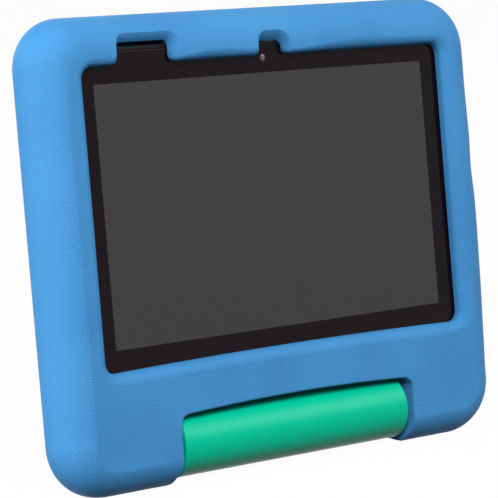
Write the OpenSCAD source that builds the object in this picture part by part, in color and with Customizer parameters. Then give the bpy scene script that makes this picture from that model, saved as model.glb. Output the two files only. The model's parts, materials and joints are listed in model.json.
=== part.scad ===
// Child-proof tablet: an 8-inch class tablet computer in a moulded foam bumper, with a turning stand
// that is also its carrying handle. Millimetres.
//
// The case pieces are drawn lying on their back: X to the right, Y up the screen, Z out of the screen,
// with the origin in the middle of the screen on the face of the glass. propped() then stands them up
// at the rest lean, with the soles of the feet on Z = 0. The stand is drawn around its hinge axis.

/* [Tablet] */
// Width of the tablet computer
tablet_w = 201.9; // [190:0.1:220]
// Height of the tablet computer
tablet_h = 137.3; // [128:0.1:148]
// Border from the tablet's edge to the lit picture area, all round
border = 14.8; // [12.5:0.1:17]
// Radius of the tablet's corners in the front view
tablet_corner = 11; // [7:0.5:16]
// Wall of the tablet's rear shell
shell_wall = 1.6; // [1.2:0.1:1.9]
// Thickness of the cover glass
glass_t = 1.1; // [0.7:0.1:1.4]
// Thickness of the display panel behind the glass
panel_t = 2; // [1.6:0.1:2.4]
// Clear radius of the front camera's lens
front_lens_r = 1.6; // [1.1:0.1:2.2]
// Radius of the rear camera's cover lens
rear_lens_r = 3.6; // [2.8:0.1:4.4]

/* [Keys and sockets] */
// How far the keys stand out of the tablet's edge
key_proud = 0.8; // [0.5:0.1:1.2]
// Travel of the power key
key_travel = 0.35; // [0.2:0.05:0.4]
// Length of the power key
power_len = 9.5; // [7:0.5:12]
// Length of the volume rocker
rocker_len = 21; // [18:0.5:24]
// Width of both keys, across the tablet's edge
key_w = 2.4; // [1.8:0.1:3]
// Bore radius of the headphone socket
jack_r = 1.8; // [1.7:0.05:1.9]
// Depth of the headphone socket
jack_depth = 14; // [12:0.5:16]
// Width of the charging socket's mouth
usb_w = 8.9; // [8.4:0.1:9.4]
// Height of the charging socket's mouth
usb_h = 3.2; // [2.8:0.1:3.4]

/* [Foam bumper] */
// Foam beside the tablet
side_foam = 13.7; // [11:0.1:18]
// Foam above the tablet
top_foam = 13.1; // [10:0.1:18]
// Foam from the tablet's lower edge to the bottom of the feet
chin_foam = 44.7; // [43:0.1:52]
// Height of the lip over the glass
lip_h = 5.5; // [4:0.1:7]
// Foam skin behind the tablet
back_skin = 4.6; // [3:0.1:7]
// How far the rear rim stands behind the skin
rear_rim = 6.2; // [4:0.1:7.5]
// Rounding of the bumper's front edge
front_round = 14.5; // [10:0.5:17]
// Rounding of the bumper's rear edge
rear_round = 8.6; // [5:0.1:11]
// Radius of the bumper's corners in the front view
case_corner = 22.5; // [18:0.5:30]
// Rounding of the lip's inner edge
lip_round = 3; // [1.5:0.1:3.8]
// Lip over the tablet at both sides, on average
lip_side = 5.95; // [4:0.05:8]
// Lip over the tablet at the top
lip_top = 7.65; // [6:0.05:9]
// Lip over the tablet at the bottom
lip_bottom = 5.65; // [4:0.05:7]
// Sideways place of the lip's window
window_shift = 1.5; // [-1.5:0.1:1.5]
// Radius of the window's corners
window_corner = 5; // [3:0.5:9]
// Width of the notch in front of the speaker
speaker_notch_w = 25.8; // [20:0.1:32]
// Sideways place of the speaker and its notch
speaker_x = -61.7; // [-66:0.1:-58]
// Width of the notch in front of the camera
camera_notch_w = 14.5; // [12:0.1:20]
// Radius of the notches' corners
notch_corner = 4.5; // [3.2:0.1:5]
// Flat cut off the bottom of the feet to make their soles
sole_cut = 1.3; // [0.8:0.1:2.5]
// Lean of the tablet from upright, at rest
lean = 8; // [4:0.5:14]

/* [Side slot] */
// Length of the slot over the keys and sockets
slot_len = 92; // [88:1:96]
// Width of the slot
slot_w = 9.2; // [8:0.1:9.4]
// Rounding of the slot's mouth
slot_flare = 1.5; // [1:0.5:4]

/* [Hinge and stand] */
// Radius of the stand's barrel
barrel_r = 14; // [13:0.1:15]
// Length of the barrel over its end caps
barrel_len = 119; // [100:1:124]
// Thickness of an end cap's flange
cap_t = 2.6; // [2:0.1:4]
// Wall of the barrel
barrel_wall = 3.2; // [2.4:0.1:4.5]
// Gap between each end of the barrel and the foam
barrel_gap = 2.2; // [2:0.1:4]
// Gap all round the barrel in its hollow
hollow_gap = 1; // [0.6:0.1:1.6]
// Height of the hinge axis above the bottom of the foam
hinge_rise = 16.8; // [16.2:0.1:19]
// Hinge axis in front of the foam skin's rear face
hinge_inset = 6.3; // [5.5:0.1:7]
// Height of the cut-out in the chin, above the hinge axis
cutout_rise = 12.6; // [10:0.1:13.5]
// Radius of the cut-out's upper corners
cutout_corner = 5.5; // [4:0.5:10]
// Rounding of the feet at their inner lower corners
foot_round = 2.5; // [1.5:0.5:8]
// Radius of the hinge pin
pin_r = 3; // [2.5:0.1:4]
// Length of the hinge pin in each bracket
pin_seat = 14; // [12:0.5:18]
// Reach of the stand, from the hinge axis to its tip
stand_reach = 88; // [82:1:104]
// Loop's side to the barrel's end
loop_inset = 3.5; // [3:0.1:8]
// Width of the loop's side bars
side_bar = 20; // [16:0.5:25]
// Length of the hand hole
hand_h = 36; // [28:1:38]
// Width of the bar across the stand's tip
grip_bar = 21; // [17:0.5:24]
// Radius of the loop's outer corners
stand_corner = 26; // [16:1:32]

/* [Hidden] */
$fn = 72;

// Cuts run this far past the faces that they open
over = 2;
// Gap between pieces that are pushed together
fit = 0.1;
// Gap round the tablet in its foam pocket
pocket_fit = 0.15;
// Running gap of pins and keys in their holes, on the radius
run_fit = 0.05;
key_fit = 0.2;

// The tablet is as thick as its layers, with room between plate and shell for the highest socket
plate_gap = 0.3;
plate_t = 0.7;
jack_wall = 0.5;
jack_half = jack_r + jack_wall;
inner_room = 2 * jack_half + 3 * fit - plate_gap - plate_t;
tablet_t = glass_t + panel_t + plate_gap + plate_t + inner_room + shell_wall;
screen_w = tablet_w - 2 * border;
screen_h = tablet_h - 2 * border;

// Outline of the bumper, with Y = 0 in the middle of the screen
case_w = tablet_w + 2 * (pocket_fit + side_foam);
case_top = tablet_h / 2 + pocket_fit + top_foam;
case_bottom = -tablet_h / 2 - chin_foam;
case_h = case_top - case_bottom;
case_mid = (case_top + case_bottom) / 2;
pocket_back = -tablet_t - pocket_fit;
skin_back = pocket_back - back_skin;
rim_back = skin_back - rear_rim;
front_edge = min(front_round, lip_h - rim_back - rear_round);

// Window in the lip
window_w = tablet_w - 2 * lip_side;
window_top = tablet_h / 2 - lip_top;
window_bottom = -tablet_h / 2 + lip_bottom;
window_mid = (window_top + window_bottom) / 2;
window_h = window_top - window_bottom;
// The speaker notch opens a sound channel past the tablet's edge, and the camera notch stops on it
sound_gap = 3.6;
speaker_notch_top = tablet_h / 2 + sound_gap;
camera_notch_in = 1.65;
camera_notch_top = tablet_h / 2 - camera_notch_in;
camera_notch_x = 2.2;
channel_rise = 2;
sound_channel = -tablet_t + channel_rise;

// Recess in the foam's back, inside the rear rim, and the hole in front of the rear camera
recess_in = 22;
recess_over = 2;
recess_corner = 16;
recess_flare = 2.5;
camera_clear = 3.4;
camera_flare = 1.5;

// Hinge axis and the cut-out that holds the barrel
hinge_y = case_bottom + hinge_rise;
hinge_z = skin_back + hinge_inset;
hollow_r = barrel_r + hollow_gap;
cutout_w = barrel_len + 2 * barrel_gap;
cutout_top = hinge_y + cutout_rise;

// Propped frame: Y and Z of a case point, before the part is put on its soles
function prop_y(y, z) = y * sin(lean) - z * cos(lean);
function prop_z(y, z) = y * cos(lean) + z * sin(lean);
front_edge_y = case_bottom + front_edge;
front_edge_z = lip_h - front_edge;
rear_edge_y = case_bottom + rear_round;
rear_edge_z = rim_back + rear_round;
lowest = min(
  prop_z(front_edge_y, front_edge_z) - front_edge,
  prop_z(rear_edge_y, rear_edge_z) - rear_round
);
lift = -lowest - sole_cut;
axis_y = prop_y(hinge_y, hinge_z);
axis_height = prop_z(hinge_y, hinge_z) + lift;
// The box round the whole part runs from the feet's front rounding to the stand's tip
front_most = prop_y(front_edge_y, front_edge_z) - front_edge;
middle_y = (front_most + axis_y + stand_reach) / 2;

// Layers of the tablet, front to back
rim_w = 1.7;
glass_w = tablet_w - 2 * rim_w;
glass_h = tablet_h - 2 * rim_w;
glass_corner = tablet_corner - rim_w;
rim_front = -0.3;
rim_round = 0.5;
shell_round = 3;
tub_round = 1.5;
glass_round = 0.4;
panel_corner = 1.2;
panel_back = -glass_t - panel_t;
plate_front = panel_back - plate_gap;
plate_in = 1;
plate_back = plate_front - plate_t;
floor_z = -tablet_t + shell_wall;
inner_x = tablet_w / 2 - shell_wall;
inner_y = tablet_h / 2 - shell_wall;
panel_side = 3.5;
panel_above = 2.2;
panel_below = 5;
panel_w = screen_w + 2 * panel_side;
panel_h = screen_h + panel_above + panel_below;
panel_mid = (panel_above - panel_below) / 2;
frame_w = 2 * inner_x - 2 * fit;
frame_h = 2 * inner_y - 2 * fit;
frame_corner = tablet_corner - shell_wall - fit;

// Cameras
front_cam_drop = 0.3;
front_cam_y = (screen_h / 2 + glass_h / 2) / 2 - front_cam_drop;
front_cam_size = 6.4;
front_neck_r = 2.8;
front_neck_h = 1;
lens_dome_r = 4 * front_lens_r;
rear_cam_in = 22.8;
rear_cam_x = tablet_w / 2 - rear_cam_in;
rear_cam_y = tablet_h / 2 - rear_cam_in;
rear_cam_size = 8.2;
rear_lens_t = 0.6;
rear_lens_lap = 0.5;
rear_barrel_r = rear_lens_r - rear_lens_lap;
camera_room = 1;

// Main board, on the right of the battery
board_t = 0.8;
board_front = plate_back - fit;
board_back = board_front - board_t;
board_left = 30;
board_edge = 10;
board_right = inner_x - board_edge + 1;
board_top = inner_y - board_edge;
board_bottom = -inner_y + board_edge;
socket_room = 1;
can_h = 1.5;
can_corner = 1.5;
can_round = 0.4;
// Middle X and Y, width and height of each shield can: processor, memory, radio
cans = [[48, 26, 24, 30], [48, -16, 22, 24], [72, 8, 14, 20]];

// Sockets
usb_depth = 7.4;
usb_wall = 0.3;
usb_end = 1;
tongue_t = 0.7;
tongue_in = 1.2;
jack_end = 0.6;
card_w = 11.6;
card_t = 0.8;
card_slot_h = 1.3;
card_len = 15;
card_wall = 0.3;
card_side = 1.2;
card_socket_t = card_t + 2 * card_wall;
card_z = board_back - fit / 2 - card_socket_t / 2;
mic_w = 3;
mic_h = 2.4;
mic_t = 1;
mic_hole_r = 0.5;

// Keys and sockets on the tablet's right edge
edge_x = tablet_w / 2;
port_z = floor_z + fit + jack_half;
power_y = 34;
rocker_y = 12;
usb_y = -12;
jack_y = -30;
mic_y = -21;
card_y = -52;
slot_y = (power_y + power_len / 2 + jack_y - jack_r) / 2;
key_flange_t = 0.55;
key_flange_lap = 1;
key_inner = inner_x - key_fit - key_flange_t;
switch_top = key_inner - key_travel - fit;
switch_t = 1.1;
key_board_t = 0.6;
key_board_front = switch_top - switch_t;
key_round = 0.4;
switch_w = 3.2;
switch_h = 2;
switch_body = 0.7 * switch_t;
plunger_r = 0.6;
pivot_r = 0.6;
pivot_x = key_inner - 0.35;
cheek_t = 0.4;
cheek_w = 2.4;
cheek_end = 0.05;
lug_half = key_w / 2 + fit;
lug_w = 2.2;
lug_wall = 0.8;
rocker_end = rocker_len / 2 - 2.5;
// Room for the key board and the keys, past both ends of what it holds
bay_over = 5;
bay_under = 2;
bay_in = 2;

// Battery
battery_x = -30;
battery_y = -12;
battery_w = 100;
battery_h = 80;
battery_corner = 3;
battery_round = 1;
lead_w = 10;
lead_t = 0.2;
lead_lap = 6;

// Speaker at the upper edge, with a row of holes through the shell
speaker_w = 31;
speaker_h = 14;
speaker_corner = 2;
speaker_round = tub_round;
speaker_mouth_w = 21;
speaker_mouth_h = 2;
sound_pitch = 2.3;
sound_hole_r = 0.7;
sound_side = 4;

// Aerial inside the lower wall
aerial_x = -30;
aerial_len = 44;
aerial_t = 0.3;

// Display ribbon: it leaves the panel, turns round the midplate's edge and ends on the main board
cable_x = 50;
cable_w = 16;
cable_t = 0.15;
cable_seat = 0.05;
cable_run = 8;
cable_bend = 0.9;
cable_edge = board_bottom - cable_bend;
cable_slot = 2.4;

// Screws that hold the midplate to the front frame
screw_r = 0.7;
screw_head_r = 1.3;
screw_head_t = 0.5;
screw_len = 1.6;
screw_in_x = 6.3;
screw_in_y = 4;
screw_side_y = 40;
screw_end_x = 32;
screw_places = [
  for (sx = [-1, 1], sy = [-1, 1]) [sx * (inner_x - screw_in_x), sy * screw_side_y],
  for (sx = [-1, 1], sy = [-1, 1]) [sx * screw_end_x, sy * (inner_y - screw_in_y)]
];

// Hinge hardware, from the barrel's end outwards
washer_t = 1.1;
washer_r = 6.5;
turn_gap = 0.3;
boss_face = barrel_len / 2 + turn_gap + washer_t + fit;
boss_r = 8;
bracket_end = cutout_w / 2 + pin_seat;
flange_in = 3;
flange_x = cutout_w / 2 + flange_in;
flange_t = 3;
flange_w = 15;
flange_rise = 22;
clip_t = 0.8;
clip_r = 5;
clip_groove = 0.5;
pin_past = 2;
pin_end = bracket_end + clip_t + pin_past;
bush_r = 6;
press = 0.02;
spigot_len = 6;
bore_r = barrel_r - barrel_wall;
cap_round = 1.2;

// Stand: its loop fills the room between the folded place and the floor
fold_gap = 0.5;
loop_top = -(hinge_inset + fold_gap);
loop_bottom = -axis_height;
loop_mid = (loop_top + loop_bottom) / 2;
loop_round = 3;
loop_sole_round = 1.2;
ramp_len = 25;
stand_w = barrel_len - 2 * loop_inset;
hand_w = stand_w - 2 * side_bar;
hand_near = stand_reach - grip_bar - hand_h;
hand_corner = 13;

foam_blue = [0.29, 0.58, 0.86];
stand_green = [0.05, 0.74, 0.58];
shell_black = [0.10, 0.10, 0.11];
steel = [0.72, 0.73, 0.75];
nylon = [0.90, 0.90, 0.86];
board_green = [0.10, 0.36, 0.24];
gold = [0.80, 0.64, 0.28];

// Puts a case piece where it stands at rest
module propped() {
  translate([0, -middle_y, lift]) rotate([90 - lean, 0, 0]) children();
}

// Puts a stand piece on the hinge axis
module at_hinge() {
  translate([0, axis_y - middle_y, axis_height]) children();
}

// Turns a cylinder or a turned piece from Z to X
module along_x() {
  rotate([0, 90, 0]) children();
}

// What a rounding of radius r takes off a square corner, in the first quadrant
module corner_waste(r) {
  difference() {
    square(r + over);
    circle(r);
  }
}

// Half section of a slab with rounded edges: r runs outwards, z0 to z1 through the thickness
module edge_section(reach, z0, z1, front_r, back_r) {
  difference() {
    translate([0, z0]) square([reach, z1 - z0]);
    if (front_r > 0) translate([reach - front_r, z1 - front_r]) corner_waste(front_r);
    if (back_r > 0) translate([reach - back_r, z0 + back_r]) mirror([0, 1]) corner_waste(back_r);
  }
}

// Half section of a cut whose mouth at z1 flares by a convex rounding of the wall
module flare_section(reach, z0, z1, flare) {
  difference() {
    translate([0, z0]) square([reach + flare, z1 + over - z0]);
    translate([reach, z0 - over]) square([flare + over, z1 - flare - z0 + over]);
    translate([reach + flare, z1 - flare]) circle(flare);
  }
}

// Carries a half section round a rounded rectangle of w by h, with its core from z0 to z1
module carried_round(w, h, corner, z0, z1) {
  x = w / 2 - corner;
  y = h / 2 - corner;
  translate([-x, -y, z0]) cube([2 * x, 2 * y, z1 - z0]);
  for (i = [0:3]) {
    sx = (i == 0 || i == 3) ? 1 : -1;
    sy = i < 2 ? 1 : -1;
    along = i % 2 == 0 ? y : x;
    out = i % 2 == 0 ? x : y;
    translate([sx * x, sy * y, 0]) rotate([0, 0, 90 * i]) rotate_extrude(angle = 90) children();
    rotate([0, 0, 90 * i]) translate([out, along, 0]) rotate([90, 0, 0])
      linear_extrude(2 * along) children();
  }
}

module soft_slab(w, h, corner, z0, z1, front_r, back_r) {
  carried_round(w, h, corner, z0, z1) edge_section(corner, z0, z1, front_r, back_r);
}

module flared_cut(w, h, corner, z0, z1, flare) {
  carried_round(w, h, corner, z0, z1 + over) flare_section(corner, z0, z1, flare);
}

// Plain plate with round corners, from z0 to z1
module round_plate(w, h, corner, z0, z1) {
  translate([0, 0, z0]) linear_extrude(z1 - z0) {
    square([w - 2 * corner, h], center = true);
    square([w, h - 2 * corner], center = true);
    for (sx = [-1, 1], sy = [-1, 1])
      translate([sx * (w / 2 - corner), sy * (h / 2 - corner)]) circle(corner);
  }
}

// Block given by its middle in X and Y, and by its two Z faces
module block(x, y, w, h, z0, z1) {
  translate([x - w / 2, y - h / 2, z0]) cube([w, h, z1 - z0]);
}

// Rounds the foam at a notch's mouth: the waste lies in the first quadrant, outside a round button
module mouth_corner(r, z0, z1, flare) {
  difference() {
    translate([-over, -over, z0]) cube([r + over, r + over, z1 + over - z0]);
    translate([r, r, 0]) rotate([0, 0, 180]) rotate_extrude(angle = 90)
      edge_section(r, z0 - over, z1, flare, 0);
    translate([r, -2 * over, z0 - over]) cube([r, r + over, z1 + 3 * over]);
    translate([-2 * over, r, z0 - over]) cube([r + over, r, z1 + 3 * over]);
  }
}

// A notch in the upper lip, w wide up to y1, with its mouth rounded into the window's edge
module lip_notch(x, w, y1, z0) {
  h = y1 - window_mid;
  translate([x, y1 - h / 2, 0]) flared_cut(w, h, notch_corner, z0, lip_h, lip_round);
  for (side = [-1, 1])
    translate([x + side * w / 2, window_top, 0]) mirror([side < 0 ? 1 : 0, 0, 0])
      mouth_corner(notch_corner, -over, lip_h, lip_round);
}

// Slot along the right side, over the keys and sockets
module side_slot() {
  corner = slot_w / 2 - fit;
  translate([0, slot_y, port_z]) rotate([0, 90, 0])
    flared_cut(slot_w, slot_len, corner, edge_x - over, case_w / 2, slot_flare);
}

// Room for the barrel: its hollow, the open space under it, and the way for the folded loop
module barrel_room() {
  translate([-cutout_w / 2, hinge_y, hinge_z]) along_x() cylinder(r = hollow_r, h = cutout_w);
  deep = cutout_top - case_bottom + cutout_corner;
  translate([0, cutout_top - deep / 2, 0])
    round_plate(cutout_w, deep, cutout_corner, hinge_z, lip_h + over);
  translate([-cutout_w / 2, case_bottom - over, rim_back - over])
    cube([cutout_w, hinge_rise + over, lip_h - rim_back + 2 * over]);
  translate([-cutout_w / 2, case_bottom - over, rim_back - over])
    cube([cutout_w, window_bottom - case_bottom + 2 * over, rear_rim + over]);
}

// Rounds a foot's inner lower corner in the front view
module foot_corner(side) {
  translate([side * (cutout_w / 2 + foot_round), case_bottom + foot_round, rim_back - over])
    mirror([side > 0 ? 1 : 0, 0, 0]) mirror([0, 1, 0])
      linear_extrude(lip_h - rim_back + 2 * over) corner_waste(foot_round);
}

// Hinge bracket in the right foot; grow makes the room for it in the foam
module bracket_shape(grow) {
  along = bracket_end - boss_face + 2 * grow;
  translate([boss_face - grow, hinge_y, hinge_z]) along_x() cylinder(r = boss_r + grow, h = along);
  translate([flange_x - grow, hinge_y, hinge_z - flange_w / 2 - grow])
    cube([flange_t + 2 * grow, flange_rise + grow, flange_w + 2 * grow]);
}

// Room for the end of the pin and its clip, behind the bracket
module pin_room() {
  translate([bracket_end - over, hinge_y, hinge_z]) along_x()
    cylinder(r = clip_r + fit, h = pin_end - bracket_end + over + fit);
}

module foam_bumper() color(foam_blue) propped() difference() {
  translate([0, case_mid, 0])
    soft_slab(case_w, case_h, case_corner, rim_back, lip_h, front_edge, rear_round);
  soft_slab(
    tablet_w + 2 * pocket_fit, tablet_h + 2 * pocket_fit, tablet_corner + pocket_fit,
    pocket_back, 0, 0, shell_round
  );
  translate([window_shift, window_mid, 0])
    flared_cut(window_w, window_h, window_corner, -over, lip_h, lip_round);
  lip_notch(speaker_x, speaker_notch_w, speaker_notch_top, sound_channel);
  lip_notch(camera_notch_x, camera_notch_w, camera_notch_top, -over);
  translate([0, window_mid, 0]) mirror([0, 0, 1])
    flared_cut(
      case_w - 2 * recess_in, window_h + 2 * recess_over, recess_corner,
      -skin_back, -rim_back, recess_flare
    );
  barrel_room();
  for (side = [-1, 1]) foot_corner(side);
  side_slot();
  translate([rear_cam_x, rear_cam_y, 0]) mirror([0, 0, 1]) rotate_extrude()
    flare_section(rear_lens_r + camera_clear, -pocket_back - over, -skin_back, camera_flare);
  for (side = [0, 1]) mirror([side, 0, 0]) {
    bracket_shape(fit);
    pin_room();
  }
  rotate([lean - 90, 0, 0]) block(0, 0, case_w + over, case_h, lowest - over, lowest + sole_cut);
}

// Hinge brackets: a boss that holds the pin, on a flange that the foam is moulded round
module hinge_bracket() {
  difference() {
    bracket_shape(0);
    translate([boss_face - over, hinge_y, hinge_z]) along_x()
      cylinder(r = pin_r + press, h = bracket_end - boss_face + 2 * over);
  }
}

module hinge_bracket_right() color(shell_black) propped() hinge_bracket();

module hinge_bracket_left() color(shell_black) propped() mirror([1, 0, 0]) hinge_bracket();

// One steel pin right through both brackets and the barrel, with a groove for a clip at each end
module hinge_pin() color(steel) propped() translate([0, hinge_y, hinge_z]) difference() {
  translate([-pin_end, 0, 0]) along_x() cylinder(r = pin_r, h = 2 * pin_end);
  for (side = [-1, 1]) translate([side * (bracket_end + fit + clip_t / 2), 0, 0]) along_x()
    difference() {
      cylinder(r = pin_r + over, h = clip_t + fit, center = true);
      cylinder(r = pin_r - clip_groove, h = clip_t + over, center = true);
    }
}

// Retaining clips: open rings that snap into the pin's grooves
module pin_clips() color(steel) propped() for (side = [-1, 1])
  translate([side * (bracket_end + fit + clip_t / 2), hinge_y, hinge_z]) along_x() difference() {
    cylinder(r = clip_r, h = clip_t, center = true);
    cylinder(r = pin_r - clip_groove + run_fit, h = clip_t + over, center = true);
    translate([0, -pin_r / 2, -over]) cube([clip_r + over, pin_r, 2 * over]);
  }

// Spring washers that press on the barrel's ends and give the stand its friction
module friction_washers() color(steel) propped() for (side = [-1, 1])
  translate([side * (boss_face - fit - washer_t / 2), hinge_y, hinge_z]) along_x() difference() {
    cylinder(r = washer_r, h = washer_t, center = true);
    cylinder(r = pin_r + run_fit, h = washer_t + over, center = true);
  }

// Cover glass, with the camera's window through its black print
module front_glass() color(shell_black) propped() difference() {
  soft_slab(glass_w - 2 * fit, glass_h - 2 * fit, glass_corner - fit, -glass_t, 0, glass_round, 0);
  translate([0, front_cam_y, -glass_t - over])
    cylinder(r = front_lens_r + run_fit, h = glass_t + 2 * over);
}

// Front lens: a shallow dome in the glass's window
module front_lens() color(steel) propped() translate([0, front_cam_y, 0]) intersection() {
  translate([0, 0, -glass_t]) cylinder(r = front_lens_r, h = glass_t);
  translate([0, 0, -lens_dome_r - fit / 2]) sphere(r = lens_dome_r);
}

module front_camera() color(shell_black) propped() translate([0, front_cam_y, 0]) {
  neck_back = -glass_t - fit - front_neck_h;
  block(0, 0, front_cam_size, front_cam_size, board_back, neck_back);
  translate([0, 0, neck_back]) cylinder(r = front_neck_r, h = front_neck_h);
}

module display_panel() color([0.25, 0.25, 0.25]) propped()
  translate([0, panel_mid, 0]) round_plate(panel_w, panel_h, panel_corner, panel_back, -glass_t);

// Frame that carries the glass and the display, inside the rear shell
module front_frame() color(shell_black) propped() difference() {
  round_plate(frame_w, frame_h, frame_corner, plate_front, -glass_t - fit);
  translate([0, panel_mid, 0])
    round_plate(panel_w + 2 * fit, panel_h + 2 * fit, panel_corner + fit, plate_front - over, over);
  block(0, front_cam_y, front_cam_size + 2 * fit, front_cam_size + 2 * fit, plate_front - over, over);
  for (p = screw_places) translate([p.x, p.y, plate_front - over])
    cylinder(r = screw_r + run_fit, h = over + screw_len - plate_t + fit);
  key_bay(plate_front - over, over);
  socket_bay(plate_front - over, over);
}

// Room behind the right edge for the key board, the keys and the sockets
module key_bay(z0, z1) {
  bay_top = power_y + power_len / 2 + bay_over;
  bay_bottom = jack_y - jack_half - bay_under;
  translate([key_board_front - key_board_t - bay_in, bay_bottom, z0])
    cube([2 * bay_in + edge_x - key_board_front, bay_top - bay_bottom, z1 - z0]);
}

// Room for the charging and headphone sockets, which stand higher than the plate
module socket_bay(z0, z1) {
  socket_in = max(jack_depth + jack_end, usb_depth) + socket_room;
  socket_bottom = jack_y - jack_half - socket_room;
  socket_top = usb_y + usb_w / 2 + socket_room;
  translate([edge_x - socket_in, socket_bottom, z0])
    cube([socket_in, socket_top - socket_bottom, z1 - z0]);
}

// Metal plate behind the display, cut away round the camera, the keys, the sockets and the ribbon
module midplate() color(steel) propped() difference() {
  round_plate(
    frame_w - 2 * plate_in, frame_h - 2 * plate_in, frame_corner - plate_in, plate_back, plate_front
  );
  camera_gap = front_cam_size + camera_room;
  block(0, front_cam_y, camera_gap, camera_gap, plate_back - over, plate_front + over);
  for (p = screw_places) translate([p.x, p.y, plate_back - over])
    cylinder(r = screw_r + run_fit, h = plate_t + 2 * over);
  key_bay(plate_back - over, plate_front + over);
  socket_bay(plate_back - over, plate_front + over);
  block(
    cable_x, cable_edge - cable_slot / 2, cable_w + over, cable_slot, plate_back - over, plate_front + over
  );
}

// Rear shell: a tub with soft edges, pierced for the keys, sockets, speaker and rear camera
module rear_cover() color(shell_black) propped() difference() {
  soft_slab(tablet_w, tablet_h, tablet_corner, -tablet_t, rim_front, rim_round, shell_round);
  soft_slab(2 * inner_x, 2 * inner_y, tablet_corner - shell_wall, floor_z, over, 0, tub_round);
  side_hole(power_y, port_z, power_len + 2 * key_fit, key_w + 2 * key_fit);
  side_hole(rocker_y, port_z, rocker_len + 2 * key_fit, key_w + 2 * key_fit);
  side_hole(card_y, card_z, card_w, card_slot_h);
  side_hole(usb_y, port_z, usb_w + 2 * fit, usb_h + 2 * fit);
  translate([inner_x - over, jack_y, port_z]) along_x()
    cylinder(r = jack_half + fit, h = shell_wall + 2 * over);
  translate([inner_x - over, mic_y, port_z]) along_x() cylinder(r = mic_hole_r, h = shell_wall + 2 * over);
  for (i = [-sound_side:sound_side])
    translate([speaker_x + sound_pitch * i, inner_y - over, (floor_z + plate_back) / 2])
      rotate([-90, 0, 0]) cylinder(r = sound_hole_r, h = shell_wall + 2 * over);
  translate([rear_cam_x, rear_cam_y, -tablet_t - over]) {
    cylinder(r = rear_barrel_r + fit, h = shell_wall + 2 * over);
    cylinder(r = rear_lens_r + run_fit, h = rear_lens_t + over);
  }
}

// Slot through the right wall of the rear shell, with round ends
module side_hole(y, z, len, wide) {
  translate([inner_x - over, y, z]) rotate([0, 90, 0])
    round_plate(wide, len, wide / 2 - fit / 2, 0, shell_wall + 2 * over);
}

module rear_lens() color([0.15, 0.16, 0.2]) propped()
  translate([rear_cam_x, rear_cam_y, -tablet_t]) cylinder(r = rear_lens_r, h = rear_lens_t - fit / 2);

module rear_camera() color(shell_black) propped() translate([rear_cam_x, rear_cam_y, 0]) {
  block(0, 0, rear_cam_size, rear_cam_size, floor_z + fit, plate_back - fit);
  translate([0, 0, -tablet_t + rear_lens_t]) cylinder(r = rear_barrel_r, h = shell_wall);
}

module battery() color([0.55, 0.56, 0.58]) propped() translate([battery_x, battery_y, 0])
  soft_slab(
    battery_w, battery_h, battery_corner, floor_z + fit, plate_back - fit, battery_round, battery_round
  );

module battery_lead() color(gold) propped() {
  lead_x = battery_x + battery_w / 2;
  translate([lead_x + run_fit, battery_y - lead_w / 2, board_back - run_fit - lead_t])
    cube([board_left - lead_x + lead_lap, lead_w, lead_t]);
}

// Main board: cut away round the cameras, the sockets and the card socket
module main_board() color(board_green) propped() difference() {
  translate([board_left, board_bottom, board_back])
    cube([board_right - board_left, board_top - board_bottom, board_t]);
  camera_gap = rear_cam_size + camera_room;
  block(rear_cam_x, rear_cam_y, camera_gap, camera_gap, board_back - over, board_front + over);
  jack_in = board_right - edge_x + jack_depth + socket_room;
  block(board_right, jack_y, 2 * jack_in, 2 * jack_half + socket_room, board_back - over, board_front + over);
  usb_in = max(board_right - edge_x + usb_depth + socket_room, socket_room);
  block(board_right, usb_y, 2 * usb_in, usb_w + socket_room, board_back - over, board_front + over);
}

// Pressed cans over the processor, the memory and the radio
module shield_cans() color(steel) propped() for (can = cans)
  translate([can[0], can[1], 0])
    soft_slab(can[2], can[3], can_corner, board_back - can_h, board_back, 0, can_round);

// Charging socket: a drawn metal mouth with a tongue inside
module usb_port() color(steel) propped() translate([0, usb_y, port_z]) rotate([0, 90, 0]) {
  corner = usb_h / 2 - fit / 2;
  inner_end = edge_x - usb_depth;
  difference() {
    round_plate(usb_h, usb_w, corner, inner_end, edge_x - fit);
    round_plate(
      usb_h - 2 * usb_wall, usb_w - 2 * usb_wall, corner - usb_wall, inner_end + usb_end, edge_x + over
    );
  }
  translate([-tongue_t / 2, -usb_w / 2 + tongue_in, inner_end + usb_end])
    cube([tongue_t, usb_w - 2 * tongue_in, usb_depth - 2 * tongue_in]);
}

// Headphone socket: a moulded block with the plug's bore
module headphone_jack() color(shell_black) propped() translate([edge_x, jack_y, port_z]) rotate([0, 90, 0])
  difference() {
    union() {
      translate([-jack_half, -jack_half, -jack_depth - jack_end])
        cube([2 * jack_half, 2 * jack_half, jack_depth - shell_wall - tub_round]);
      translate([0, 0, -jack_depth]) cylinder(r = jack_half, h = jack_depth);
    }
    translate([0, 0, -jack_depth]) cylinder(r = jack_r, h = jack_depth + over);
  }

// Memory card socket: a flat sleeve, open towards the slot in the shell
module card_socket() color(steel) propped()
  translate([inner_x - fit - card_len, card_y, card_z]) difference() {
    socket_w = card_w + 2 * card_side;
    translate([0, -socket_w / 2, -card_socket_t / 2]) cube([card_len, socket_w, card_socket_t]);
    translate([card_side, -card_w / 2, -card_t / 2]) cube([card_len, card_w, card_t]);
  }

module microphone() color(gold) propped()
  block(inner_x - fit - mic_t / 2, mic_y, mic_t, mic_w, port_z - mic_h / 2, port_z + mic_h / 2);

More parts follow.
